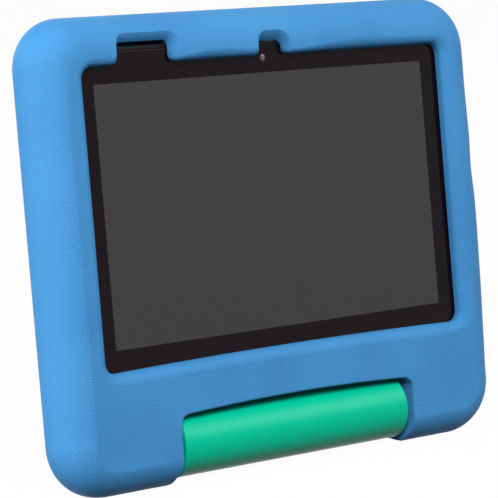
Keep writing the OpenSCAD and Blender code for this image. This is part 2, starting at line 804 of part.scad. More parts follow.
// Speaker: a sealed box whose mouth faces the holes in the tablet's upper edge
module speaker_module() color(shell_black) propped() difference() {
  translate([speaker_x, inner_y - fit - speaker_h / 2, 0])
    soft_slab(
      speaker_w, speaker_h, speaker_corner, floor_z + fit, plate_back - fit, speaker_round, speaker_round
    );
  mouth_corner_r = speaker_mouth_h / 2 - fit;
  translate([speaker_x, inner_y - over, (floor_z + plate_back) / 2]) rotate([-90, 0, 0])
    round_plate(speaker_mouth_w, speaker_mouth_h, mouth_corner_r, 0, 2 * over);
}

// Aerial: a thin strip inside the lower wall
module wifi_antenna() color(gold) propped()
  block(
    aerial_x, -inner_y + fit + aerial_t / 2, aerial_len, aerial_t, floor_z + tub_round + fit, plate_back - fit
  );

module side_key_board() color(board_green) propped() {
  low = rocker_y - rocker_len / 2;
  high = power_y + power_len / 2;
  translate([key_board_front - key_board_t, low, floor_z + fit])
    cube([key_board_t, high - low, plate_back - floor_z - 2 * fit]);
}

// Click switches: one behind the power key, and one behind each end of the rocker
module key_switches() color(nylon) propped()
  for (y = [power_y, rocker_y - rocker_end, rocker_y + rocker_end]) {
    block(
      key_board_front + switch_body / 2, y, switch_body, switch_w,
      port_z - switch_h / 2, port_z + switch_h / 2
    );
    translate([key_board_front + switch_t / 2, y, port_z]) along_x()
      cylinder(r = plunger_r, h = switch_t / 2);
  }

// Cradle on the key board: two cheeks and a pin that the rocker tilts on
module rocker_cradle() color(nylon) propped() {
  cheek_out = pivot_x + pivot_r + cheek_end;
  for (side = [-1, 1]) {
    cheek_z = port_z + side * (lug_half + key_fit + cheek_t / 2);
    block(
      (key_board_front + cheek_out) / 2, rocker_y, cheek_out - key_board_front, cheek_w,
      cheek_z - cheek_t / 2, cheek_z + cheek_t / 2
    );
  }
  translate([pivot_x, rocker_y, port_z - lug_half - key_fit - fit])
    cylinder(r = pivot_r, h = 2 * (lug_half + key_fit + fit));
}

// Ribbon from the back of the display, round the midplate's edge, to the main board
module display_cable() color(gold) propped() translate([cable_x - cable_w / 2, 0, 0]) rotate([90, 0, 90])
  linear_extrude(cable_w) {
    front = panel_back - cable_seat;
    back = board_back - cable_seat - cable_t;
    translate([cable_edge, front - cable_t]) square([cable_run, cable_t]);
    translate([cable_edge, back]) square([cable_run, cable_t]);
    translate([cable_edge - cable_t, back]) square([cable_t, front - back]);
  }

module frame_screws() color(steel) propped() for (p = screw_places) translate([p.x, p.y, plate_back]) {
  translate([0, 0, -screw_head_t]) cylinder(r = screw_head_r, h = screw_head_t);
  cylinder(r = screw_r, h = screw_len);
}

// Power key: a round-ended bar through the shell, with a flange that keeps it in
module power_button() color(shell_black) propped() translate([0, power_y, port_z]) rotate([0, 90, 0]) {
  soft_slab(key_w, power_len, key_w / 2 - run_fit, key_inner, edge_x + key_proud, key_round, 0);
  round_plate(
    key_w + key_flange_lap, power_len + key_flange_lap, key_w / 2, key_inner, key_inner + key_flange_t
  );
}

// Volume rocker: a longer bar with a lug inside that tilts on the cradle's pin
module volume_rocker() color(shell_black) propped() translate([0, rocker_y, 0]) difference() {
  union() {
    translate([0, 0, port_z]) rotate([0, 90, 0]) soft_slab(
      key_w, rocker_len, key_w / 2 - run_fit, key_inner + key_fit, edge_x + key_proud, key_round, 0
    );
    block(pivot_x + lug_wall / 2, 0, 2 * pivot_r + 2 * lug_wall, lug_w, port_z - lug_half, port_z + lug_half);
  }
  translate([pivot_x, 0, port_z - over]) cylinder(r = pivot_r + run_fit, h = 2 * over);
}

// Loop of the stand: a plate with soft edges, open towards the barrel
module stand_loop() {
  reach_mid = stand_reach - stand_corner;
  side_x = stand_w / 2 - stand_corner;
  difference() {
    union() {
      translate([-side_x, 0, loop_bottom]) cube([2 * side_x, reach_mid, loop_top - loop_bottom]);
      for (side = [0, 1]) mirror([side, 0, 0]) {
        translate([side_x, reach_mid, 0]) {
          rotate([90, 0, 0]) linear_extrude(reach_mid) loop_section(stand_corner);
          rotate_extrude(angle = 90) loop_section(stand_corner);
        }
      }
      translate([-side_x, reach_mid, 0]) rotate([90, 0, 90]) linear_extrude(2 * side_x)
        loop_section(stand_corner);
    }
    translate([0, hand_near + hand_h / 2, 0]) {
      flared_cut(hand_w, hand_h, hand_corner, loop_mid, loop_top, loop_round);
      mirror([0, 0, 1])
        flared_cut(hand_w, hand_h, hand_corner, -loop_mid - fit, -loop_bottom, loop_sole_round);
    }
    translate([stand_w / 2 + over, 0, 0]) rotate([90, 0, -90]) linear_extrude(stand_w + 2 * over)
      polygon([[over, -barrel_r], [-ramp_len, loop_bottom], [-ramp_len, loop_bottom - over],
        [over, loop_bottom - over]]);
  }
}

module loop_section(reach) {
  edge_section(reach, loop_bottom, loop_top, loop_round, loop_sole_round);
}

// Stand: the barrel and its loop, moulded in one piece
module stand_handle() color(stand_green) at_hinge() difference() {
  union() {
    translate([-barrel_len / 2 + cap_t, 0, 0]) along_x() cylinder(r = barrel_r, h = barrel_len - 2 * cap_t);
    stand_loop();
  }
  translate([-barrel_len / 2, 0, 0]) along_x() cylinder(r = bore_r, h = barrel_len);
}

// End cap: a turned disc with a soft edge, and a spigot that plugs the barrel
module barrel_cap() difference() {
  translate([barrel_len / 2 - cap_t, 0, 0]) along_x() {
    rotate_extrude() edge_section(barrel_r, 0, cap_t, cap_round, 0);
    translate([0, 0, -spigot_len]) cylinder(r = bore_r - run_fit, h = spigot_len + cap_t / 2);
  }
  translate([barrel_len / 2 - cap_t - spigot_len - over, 0, 0]) along_x()
    cylinder(r = bush_r + press, h = cap_t + spigot_len + 2 * over);
}

module barrel_cap_right() color(stand_green) at_hinge() barrel_cap();

module barrel_cap_left() color(stand_green) at_hinge() mirror([1, 0, 0]) barrel_cap();

// Bush: pressed into the cap, and turning on the pin
module friction_bush() translate([barrel_len / 2 - cap_t - spigot_len, 0, 0]) along_x() difference() {
  cylinder(r = bush_r, h = cap_t + spigot_len);
  translate([0, 0, -over]) cylinder(r = pin_r + run_fit, h = cap_t + spigot_len + 2 * over);
}

module friction_bush_right() color(nylon) at_hinge() friction_bush();

module friction_bush_left() color(nylon) at_hinge() mirror([1, 0, 0]) friction_bush();

foam_bumper();
hinge_bracket_left();
hinge_bracket_right();
hinge_pin();
pin_clips();
friction_washers();
front_glass();
front_lens();
front_camera();
display_panel();
front_frame();
midplate();
rear_cover();
rear_lens();
rear_camera();
battery();
battery_lead();
main_board();
shield_cans();
usb_port();
headphone_jack();
card_socket();
microphone();
speaker_module();
wifi_antenna();
side_key_board();
key_switches();
rocker_cradle();
display_cable();
frame_screws();
power_button();
volume_rocker();
stand_handle();
barrel_cap_left();
barrel_cap_right();
friction_bush_left();
friction_bush_right();
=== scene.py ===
# %% [markdown]
# # A child-proof tablet in a foam bumper
#
# A small tablet computer sits in a thick moulded foam bumper. A green plastic barrel turns between the
# bumper's feet; behind it is a loop that props the tablet up or serves as a handle. The solids come from
# the frame, in metres, and everything below dresses them: the foam is built anew as one soft surface, and
# the rigid pieces keep their shape and get finishes that show how each was made.

import json
import math

import bpy
import numpy as np
from mathutils import Matrix


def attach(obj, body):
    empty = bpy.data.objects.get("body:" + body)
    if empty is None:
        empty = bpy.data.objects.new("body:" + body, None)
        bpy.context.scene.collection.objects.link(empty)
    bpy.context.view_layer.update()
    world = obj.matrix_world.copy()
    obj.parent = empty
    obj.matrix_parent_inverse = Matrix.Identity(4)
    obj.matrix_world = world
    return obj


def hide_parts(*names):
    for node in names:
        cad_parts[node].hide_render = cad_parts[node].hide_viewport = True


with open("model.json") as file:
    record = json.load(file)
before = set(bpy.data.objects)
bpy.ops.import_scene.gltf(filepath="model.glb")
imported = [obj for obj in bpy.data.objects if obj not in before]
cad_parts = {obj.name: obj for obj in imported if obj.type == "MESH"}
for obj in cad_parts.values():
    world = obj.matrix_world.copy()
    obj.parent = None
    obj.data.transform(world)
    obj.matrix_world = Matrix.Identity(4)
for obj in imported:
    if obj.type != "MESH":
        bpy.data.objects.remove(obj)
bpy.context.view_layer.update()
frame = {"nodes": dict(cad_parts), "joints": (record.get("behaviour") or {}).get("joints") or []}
nodes = frame["nodes"]
joints = {joint["name"]: joint for joint in frame["joints"]}
scene = bpy.context.scene

# %% [markdown]
# ## A drawing board on the screen
#
# The tablet leans back, so its edges don't run along the world's axes. Drawing is easier on a board that
# leans with it: X to the right, Y up the screen, Z out of the glass, in millimetres, with the origin in the
# middle of the glass. The volume key's hinge points straight out of the screen, which gives the lean, and
# the cover glass gives the origin. `on_board` and `to_world` go between the board and the frame.

# %% The drawing board
MM = 0.001
out_of_screen = np.array(joints["volume_tilt"]["axis"])
out_of_screen /= np.linalg.norm(out_of_screen)
to_the_right = np.array([1.0, 0.0, 0.0])
up_the_screen = np.cross(out_of_screen, to_the_right)
AXES = np.stack([to_the_right, up_the_screen, out_of_screen])


def node_points(name):
    """All vertices of a CAD node, in metres, as rows of an array."""
    mesh = nodes[name].data
    flat = np.empty(3 * len(mesh.vertices), np.float32)
    mesh.vertices.foreach_get("co", flat)
    return flat.reshape(-1, 3).astype(float)


glass_points = node_points("front_glass") @ AXES.T
glass_low, glass_high = glass_points.min(0), glass_points.max(0)
BOARD_ORIGIN = AXES.T @ np.array([*(glass_low + glass_high)[:2] / 2, glass_high[2]])


def on_board(points):
    """World metres to board millimetres: subtract the origin and project on the three axes."""
    return (np.asarray(points) - BOARD_ORIGIN) @ AXES.T / MM


def to_world(points):
    """Board millimetres to world metres: the reverse of on_board."""
    return BOARD_ORIGIN + (np.asarray(points) * MM) @ AXES


def board_box(name):
    """Lowest and highest corner of a CAD node, measured on the board."""
    points = on_board(node_points(name))
    return points.min(0), points.max(0)


foam_low, foam_high = board_box("foam_bumper")
shell_low, shell_high = board_box("rear_cover")
hinge = on_board(joints["stand_hinge"]["pos_m"])
print("foam on the board:", foam_low.round(2), foam_high.round(2), "hinge:", hinge.round(2))

# %% [markdown]
# ## The camera
#
# The four corners of the picture area were matched with the photograph, which gives the viewing angle, the
# distance and the focal length. A long lens from about a metre away keeps the tablet's edges almost
# parallel.

# %% Camera at the photograph's viewing angle
VIEW_AZIMUTH = math.radians(-36.823)
VIEW_ELEVATION = math.radians(9.689)
VIEW_DISTANCE = 1.10774
AIM_RIGHT = 0.008098
AIM_UP = 0.085827
FRAME_PIXELS = 498
FOCAL_PIXELS = 2513.1
SENSOR_MM = 36.0
CLIP_END_M = 50.0

view_right = np.array([math.cos(VIEW_AZIMUTH), math.sin(VIEW_AZIMUTH), 0.0])
view_back = np.array([
    math.sin(VIEW_AZIMUTH) * math.cos(VIEW_ELEVATION),
    -math.cos(VIEW_AZIMUTH) * math.cos(VIEW_ELEVATION),
    math.sin(VIEW_ELEVATION),
])
view_up = np.cross(view_back, view_right)
camera_data = bpy.data.cameras.new("camera")
camera_data.sensor_width = SENSOR_MM
camera_data.lens = SENSOR_MM * FOCAL_PIXELS / FRAME_PIXELS
camera_data.clip_end = CLIP_END_M
camera = bpy.data.objects.new("camera", camera_data)
scene.collection.objects.link(camera)
place = Matrix(np.stack([view_right, view_up, view_back], axis=1).tolist()).to_4x4()
place.translation = AIM_RIGHT * view_right + AIM_UP * view_up + VIEW_DISTANCE * view_back
camera.matrix_world = place
scene.camera = camera
print("camera at", [round(x, 4) for x in place.translation], "lens", round(camera_data.lens, 1), "mm")

# %% [markdown]
# ## Nodes, colours and lights
#
# A shader is a small graph. `add_node` puts one node into a graph: plain values go on its sockets, and a
# pair of node and output name becomes a link. Colours are written as they look on a screen, as hex values,
# and `tint` turns them into the linear light that the renderer adds up.

# %% Helpers for shaders
def tint(hex_colour):
    """Screen colour to linear light: c / 12.92 near black, else ((c + 0.055) / 1.055) to the power 2.4."""
    screen = np.array([int(hex_colour[i:i + 2], 16) for i in (1, 3, 5)]) / 255
    linear = np.where(screen <= 0.04045, screen / 12.92, ((screen + 0.055) / 1.055) ** 2.4)
    return (*linear.tolist(), 1.0)


def add_node(tree, kind, sockets=None, **settings):
    """One node: settings are its properties, sockets holds a value or a (node, output) pair per input."""
    node = tree.nodes.new("ShaderNode" + kind)
    for name, value in settings.items():
        setattr(node, name, value)
    for socket, value in (sockets or {}).items():
        if isinstance(value, tuple) and isinstance(value[0], bpy.types.Node):
            tree.links.new(value[0].outputs[value[1]], node.inputs[socket])
        else:
            node.inputs[socket].default_value = value
    return node


def new_material(name):
    """An empty material and its graph."""
    material = bpy.data.materials.new(name)
    material.use_nodes = True
    material.node_tree.nodes.clear()
    return material, material.node_tree


def dress(material, *names):
    """Gives CAD nodes one material in place of the one they were packed with."""
    for name in names:
        nodes[name].data.materials.clear()
        nodes[name].data.materials.append(material)


print("middle grey in linear light:", round(tint("#808080")[0], 3))

# %% [markdown]
# The studio is a pale floor under a faint dome of light. A dome as bright as a white background would wash
# out the object, so the world asks what kind of ray it meets: the camera, mirror-like surfaces and glass
# see white, and scattered light sees the weak dome.

# %% World
DOME_STRENGTH = 0.04
WHITE = (1.0, 1.0, 1.0, 1.0)


def seen_directly(tree):
    """1 for rays from the camera, off glossy surfaces and through glass; 0 for light that is scattered."""
    path = add_node(tree, "LightPath")
    seen = add_node(
        tree, "Math", {0: (path, "Is Camera Ray"), 1: (path, "Is Glossy Ray")}, operation="MAXIMUM"
    )
    return add_node(
        tree, "Math", {0: (seen, "Value"), 1: (path, "Is Transmission Ray")}, operation="MAXIMUM"
    )


world = bpy.data.worlds.new("studio")
scene.world = world
world.use_nodes = True
tree = world.node_tree
tree.nodes.clear()
seen = seen_directly(tree)
dome = add_node(tree, "Background", {"Color": WHITE, "Strength": DOME_STRENGTH})
white = add_node(tree, "Background", {"Color": WHITE, "Strength": 1.0})
mix = add_node(tree, "MixShader", {0: (seen, "Value"), 1: (dome, "Background"), 2: (white, "Background")})
add_node(tree, "OutputWorld", {"Surface": (mix, "Shader")})
print("dome strength:", DOME_STRENGTH)

# %% [markdown]
# The floor asks the same. To the eye it is mostly white by itself, and the rest is lit paper, which takes
# the object's shadow weakly. To scattered light it is dark grey, so that little light comes up from it.

# %% Floor
FLOOR_SIZE = 30.0
FLOOR_SHOWN = 0.97
PAPER_FOR_LIGHT, PAPER_FOR_EYE = "#303030", "#f4f4f4"

floor_material, tree = new_material("studio_floor")
seen = seen_directly(tree)
share = add_node(tree, "Math", {0: (seen, "Value"), 1: FLOOR_SHOWN}, operation="MULTIPLY")
paper_shade = add_node(
    tree, "MixRGB", {0: (seen, "Value"), 1: tint(PAPER_FOR_LIGHT), 2: tint(PAPER_FOR_EYE)}
)
paper = add_node(tree, "BsdfDiffuse", {"Color": (paper_shade, "Color")})
glow = add_node(tree, "Emission", {"Color": WHITE, "Strength": 1.0})
mix = add_node(tree, "MixShader", {0: (share, "Value"), 1: (paper, "BSDF"), 2: (glow, "Emission")})
add_node(tree, "OutputMaterial", {"Surface": (mix, "Shader")})
half = FLOOR_SIZE / 2
floor_mesh = bpy.data.meshes.new("studio_floor")
floor_mesh.from_pydata(
    [(-half, -half, 0.0), (half, -half, 0.0), (half, half, 0.0), (-half, half, 0.0)], [], [(0, 1, 2, 3)]
)
floor_mesh.materials.append(floor_material)
floor = bpy.data.objects.new("studio_floor", floor_mesh)
scene.collection.objects.link(floor)
print("floor:", FLOOR_SIZE, "m wide")

# %% [markdown]
# Four soft lamps light the object. The main one stands in front on the left, above the tablet. A narrow
# tall one on the far left lights the foam's left edge, a weaker one on the right keeps that side from going
# dull, and the weakest fills the back.

# %% Lamps
LAMPS_AIM = np.array([0.0, 0.0, 0.1])
LAMPS = {
    # name: place, width and height, all in metres, and watts
    "key_lamp": ((-0.85, -1.2, 1.14), (0.8, 0.65), 27.0),
    "left_strip": ((-1.4, 0.15, 0.4), (0.5, 1.1), 18.0),
    "right_lamp": ((1.0, -1.0, 1.0), (0.8, 0.8), 11.0),
    "back_fill": ((0.4, 1.7, 0.3), (1.2, 0.9), 9.0),
}
for name, (place_m, size_m, watts) in LAMPS.items():
    lamp = bpy.data.lights.new(name, "AREA")
    lamp.shape = "RECTANGLE"
    lamp.size, lamp.size_y = size_m
    lamp.energy = watts
    box = bpy.data.objects.new(name, lamp)
    scene.collection.objects.link(box)
    away = np.array(place_m) - LAMPS_AIM
    away /= np.linalg.norm(away)
    side = np.cross([0.0, 0.0, 1.0], away)
    side /= np.linalg.norm(side)
    turned = Matrix(np.stack([side, np.cross(away, side), away], axis=1).tolist()).to_4x4()
    turned.translation = place_m
    box.matrix_world = turned
scene.view_settings.view_transform = "Standard"

# %% [markdown]
# ## Paths with round corners
#
# Every outline of the bumper is a chain of straight stretches and arcs: the window in the lip with its two
# notches, the outer edge with its feet, the pocket and the recess behind. A `RoundedPath` takes the sharp
# corners and their radii. Asked for distances along it, it answers with points and outward normals, as
# arrays.

# %% Rounded paths
TINY_RADIUS = 1e-9
FINE_SAMPLES = 8000


class RoundedPath:
    """Closed path, anticlockwise, from rows of x, y, radius; it starts and ends in the last corner."""

    def __init__(self, corners):
        rows = np.array(corners, float)
        corner, radius = rows[:, :2], rows[:, 2]
        back = np.roll(corner, 1, 0) - corner
        ahead = np.roll(corner, -1, 0) - corner
        back /= np.linalg.norm(back, axis=1)[:, None]
        ahead /= np.linalg.norm(ahead, axis=1)[:, None]
        half_angle = np.arccos(np.clip((back * ahead).sum(1), -1, 1)) / 2
        reach = radius / np.tan(half_angle)
        self.start = corner + back * reach[:, None]
        self.end = corner + ahead * reach[:, None]
        self.turn = np.sign(back[:, 1] * ahead[:, 0] - back[:, 0] * ahead[:, 1])
        self.radius = np.maximum(radius, TINY_RADIUS)
        self.heading = -back
        inward = np.stack([back[:, 1], -back[:, 0]], axis=1) * self.turn[:, None]
        self.centre = self.start + inward * self.radius[:, None]
        straight = np.linalg.norm(self.start - np.roll(self.end, 1, 0), axis=1)
        arc = radius * (np.pi - 2 * half_angle)
        self.lengths = np.stack([straight, arc], axis=1).ravel()
        self.ends = np.cumsum(self.lengths)
        self.length = self.ends[-1]

    def at(self, distance):
        """Points and outward normals. A straight goes on from the last arc; an arc turns its first spoke."""
        distance = np.asarray(distance) % self.length
        piece = np.minimum(np.searchsorted(self.ends, distance, side="right"), len(self.ends) - 1)
        corner = piece // 2
        along = distance - (self.ends[piece] - self.lengths[piece])
        on_arc = (piece % 2 == 1)[:, None]
        angle = self.turn[corner] * along / self.radius[corner]
        cosine, sine = np.cos(angle)[:, None], np.sin(angle)[:, None]
        heading = self.heading[corner]
        spoke = self.start[corner] - self.centre[corner]
        quarter = np.array([[0.0, 1.0], [-1.0, 0.0]])
        on_line = np.roll(self.end, 1, 0)[corner] + heading * along[:, None]
        on_curve = self.centre[corner] + spoke * cosine + (spoke @ quarter) * sine
        tangent = np.where(on_arc, heading * cosine + (heading @ quarter) * sine, heading)
        return np.where(on_arc, on_curve, on_line), np.stack([tangent[:, 1], -tangent[:, 0]], axis=1)

    def nearest(self, points):
        """Distances along the path of its points nearest to the given ones, found on a fine sampling."""
        fine = np.linspace(0, self.length, FINE_SAMPLES, endpoint=False)
        here, _ = self.at(fine)
        gaps = np.linalg.norm(here[None] - np.asarray(points, float)[:, None], axis=2)
        return fine[gaps.argmin(1)]


def spread(path, marks, counts):
    """Distances along a path: between each mark and the next, that many even steps, all the way round."""
    stops = np.append(marks, marks[0] + path.length)
    steps = [np.linspace(a, b, n, endpoint=False) for a, b, n in zip(stops, stops[1:], counts)]
    return np.concatenate(steps)


def smooth_step(value):
    """0 below 0, 1 above 1, and 3 t^2 - 2 t^3 in between."""
    t = np.clip(value, 0, 1)
    return t * t * (3 - 2 * t)


sample_path = RoundedPath([(10, 0, 2), (10, 10, 2), (0, 10, 2), (0, 0, 2)])
print("a 10 mm square with 2 mm corners is", round(sample_path.length, 2), "mm round")

# %% [markdown]
# ## From a grid to a mesh
#
# A grid is a stack of closed rings with the same number of points. `skin_grid` joins neighbouring rings
# with four-sided faces, closes the first and the last ring on a point in their middle, and turns the faces
# outwards if the enclosed volume comes out negative.

# %% Grid to mesh
def skin_grid(name, rings):
    """Closed mesh from rings of shape (rows, points, 3), in board millimetres."""
    rows, count, _ = rings.shape
    poles = np.stack([rings[0].mean(0), rings[-1].mean(0)])
    points = to_world(np.concatenate([rings.reshape(-1, 3), poles]))
    index = np.arange(rows * count).reshape(rows, count)
    beside = np.roll(index, -1, axis=1)
    quads = np.stack([index[:-1], beside[:-1], beside[1:], index[1:]], axis=-1).reshape(-1, 4)
    first = np.stack([beside[0], index[0], np.full(count, rows * count)], axis=-1)
    last = np.stack([index[-1], beside[-1], np.full(count, rows * count + 1)], axis=-1)
    triangles = np.concatenate([quads[:, [0, 1, 2]], quads[:, [0, 2, 3]], first, last])
    a, b, c = (points[triangles[:, i]] for i in range(3))
    if (np.cross(a, b) * c).sum() < 0:
        quads, first, last = quads[:, ::-1], first[:, ::-1], last[:, ::-1]
    mesh = bpy.data.meshes.new(name)
    mesh.from_pydata(points.tolist(), [], quads.tolist() + first.tolist() + last.tolist())
    mesh.polygons.foreach_set("use_smooth", np.ones(len(mesh.polygons), bool))
    mesh.update()
    piece = bpy.data.objects.new(name, mesh)
    scene.collection.objects.link(piece)
    print(name, "has", len(mesh.polygons), "faces")
    return piece


# %% [markdown]
# ## The foam bumper
#
# The bumper is a single block of closed-cell foam from a heated mould, so it has no seams and no sharp
# edge: the outer edge is nearly a full round, the lip rolls over the glass, and the feet have soft toes.
# Carving such a form out of boxes with a bevel leaves pinched corners. Here one section is carried all the
# way round instead. It starts in the pocket behind the tablet, comes up under the lip, rolls over the lip's
# edge, crosses the flat front, rolls round the outside and ends in the recess at the back.
#
# First come the measures, in millimetres on the drawing board. The solids give most of them; the notches,
# the corners and the barrel's opening follow the photograph.

# %% Measures of the bumper
CASE_HALF, CASE_TOP, LIP_FRONT = foam_high
RIM_BACK = foam_low[2]
HINGE_TO_BOTTOM, HINGE_TO_SKIN, HINGE_TO_BITE = 16.8, 6.3, 12.6
CASE_BOTTOM = hinge[1] - HINGE_TO_BOTTOM
SKIN_BACK = hinge[2] - HINGE_TO_SKIN
POCKET_GAP, POCKET_CORNER = 0.15, 11.15
POCKET_BACK = shell_low[2] - POCKET_GAP
TOP_LEFT_CORNER, TOP_RIGHT_CORNER = 21.0, 23.0
BOTTOM_LEFT_CORNER, BOTTOM_RIGHT_CORNER = 22.5, 24.5

LAP_TOP, LAP_BOTTOM = 7.65, 5.65
WINDOW_LEFT, WINDOW_RIGHT = -93.5, 95.3
WINDOW_TOP = shell_high[1] - LAP_TOP
WINDOW_BOTTOM = shell_low[1] + LAP_BOTTOM
WINDOW_CORNER = 5.0
SPEAKER_LEFT, SPEAKER_RIGHT, SPEAKER_ABOVE = -74.6, -48.8, 1.6
SPEAKER_TOP = shell_high[1] + SPEAKER_ABOVE
LEFT_MOUTH, RIGHT_MOUTH, NOTCH_CORNER = 4.4, 3.0, 2.3
CAMERA_LEFT, CAMERA_RIGHT, CAMERA_BELOW = -2.7, 9.8, 1.65
CAMERA_TOP = shell_high[1] - CAMERA_BELOW
CAMERA_LEFT_MOUTH, CAMERA_LEFT_CORNER = 4.2, 1.7
CAMERA_RIGHT_MOUTH, CAMERA_RIGHT_CORNER = 2.4, 3.5

BARREL_GAP = 2.2
BITE_HALF = board_box("barrel_cap_right")[1][0] + BARREL_GAP
BITE_TOP = hinge[1] + HINGE_TO_BITE
BITE_LEFT_CORNER, BITE_RIGHT_CORNER, TOE_CORNER = 5.5, 3.6, 2.4
print("case:", round(2 * CASE_HALF, 1), "mm wide,", round(CASE_TOP - CASE_BOTTOM, 1), "mm high")

# %% [markdown]
# Four outlines carry the section: the window that the lip leaves over the glass, the outer edge with the
# barrel's opening, the pocket of the tablet, and the recess in the back. All start in the middle of their
# lower side and run anticlockwise.

# %% Outlines of the bumper
window = RoundedPath([
    (WINDOW_RIGHT, WINDOW_BOTTOM, WINDOW_CORNER), (WINDOW_RIGHT, WINDOW_TOP, WINDOW_CORNER),
    (CAMERA_RIGHT, WINDOW_TOP, CAMERA_RIGHT_MOUTH), (CAMERA_RIGHT, CAMERA_TOP, CAMERA_RIGHT_CORNER),
    (CAMERA_LEFT, CAMERA_TOP, CAMERA_LEFT_CORNER), (CAMERA_LEFT, WINDOW_TOP, CAMERA_LEFT_MOUTH),
    (SPEAKER_RIGHT, WINDOW_TOP, RIGHT_MOUTH), (SPEAKER_RIGHT, SPEAKER_TOP, NOTCH_CORNER),
    (SPEAKER_LEFT, SPEAKER_TOP, NOTCH_CORNER), (SPEAKER_LEFT, WINDOW_TOP, LEFT_MOUTH),
    (WINDOW_LEFT, WINDOW_TOP, WINDOW_CORNER), (WINDOW_LEFT, WINDOW_BOTTOM, WINDOW_CORNER),
    (0.0, WINDOW_BOTTOM, 0.0),
])
outside = RoundedPath([
    (BITE_HALF, BITE_TOP, BITE_RIGHT_CORNER), (BITE_HALF, CASE_BOTTOM, TOE_CORNER),
    (CASE_HALF, CASE_BOTTOM, BOTTOM_RIGHT_CORNER), (CASE_HALF, CASE_TOP, TOP_RIGHT_CORNER),
    (-CASE_HALF, CASE_TOP, TOP_LEFT_CORNER), (-CASE_HALF, CASE_BOTTOM, BOTTOM_LEFT_CORNER),
    (-BITE_HALF, CASE_BOTTOM, TOE_CORNER), (-BITE_HALF, BITE_TOP, BITE_LEFT_CORNER),
    (0.0, BITE_TOP, 0.0),
])


def plain_frame(left, right, bottom, top, corner):
    """Rounded rectangle that starts in the middle of its lower side, as the other outlines do."""
    return RoundedPath([
        (right, bottom, corner), (right, top, corner), (left, top, corner), (left, bottom, corner),
        ((left + right) / 2, bottom, 0.0),
    ])


pocket = plain_frame(
    shell_low[0] - POCKET_GAP, shell_high[0] + POCKET_GAP,
    shell_low[1] - POCKET_GAP, shell_high[1] + POCKET_GAP, POCKET_CORNER,
)
RECESS_IN, RECESS_OVER, RECESS_CORNER = 22.0, 2.0, 16.0
recess = plain_frame(
    RECESS_IN - CASE_HALF, CASE_HALF - RECESS_IN,
    WINDOW_BOTTOM - RECESS_OVER, WINDOW_TOP + RECESS_OVER, RECESS_CORNER,
)
print("window", round(window.length), "mm round, outside", round(outside.length), "mm round")
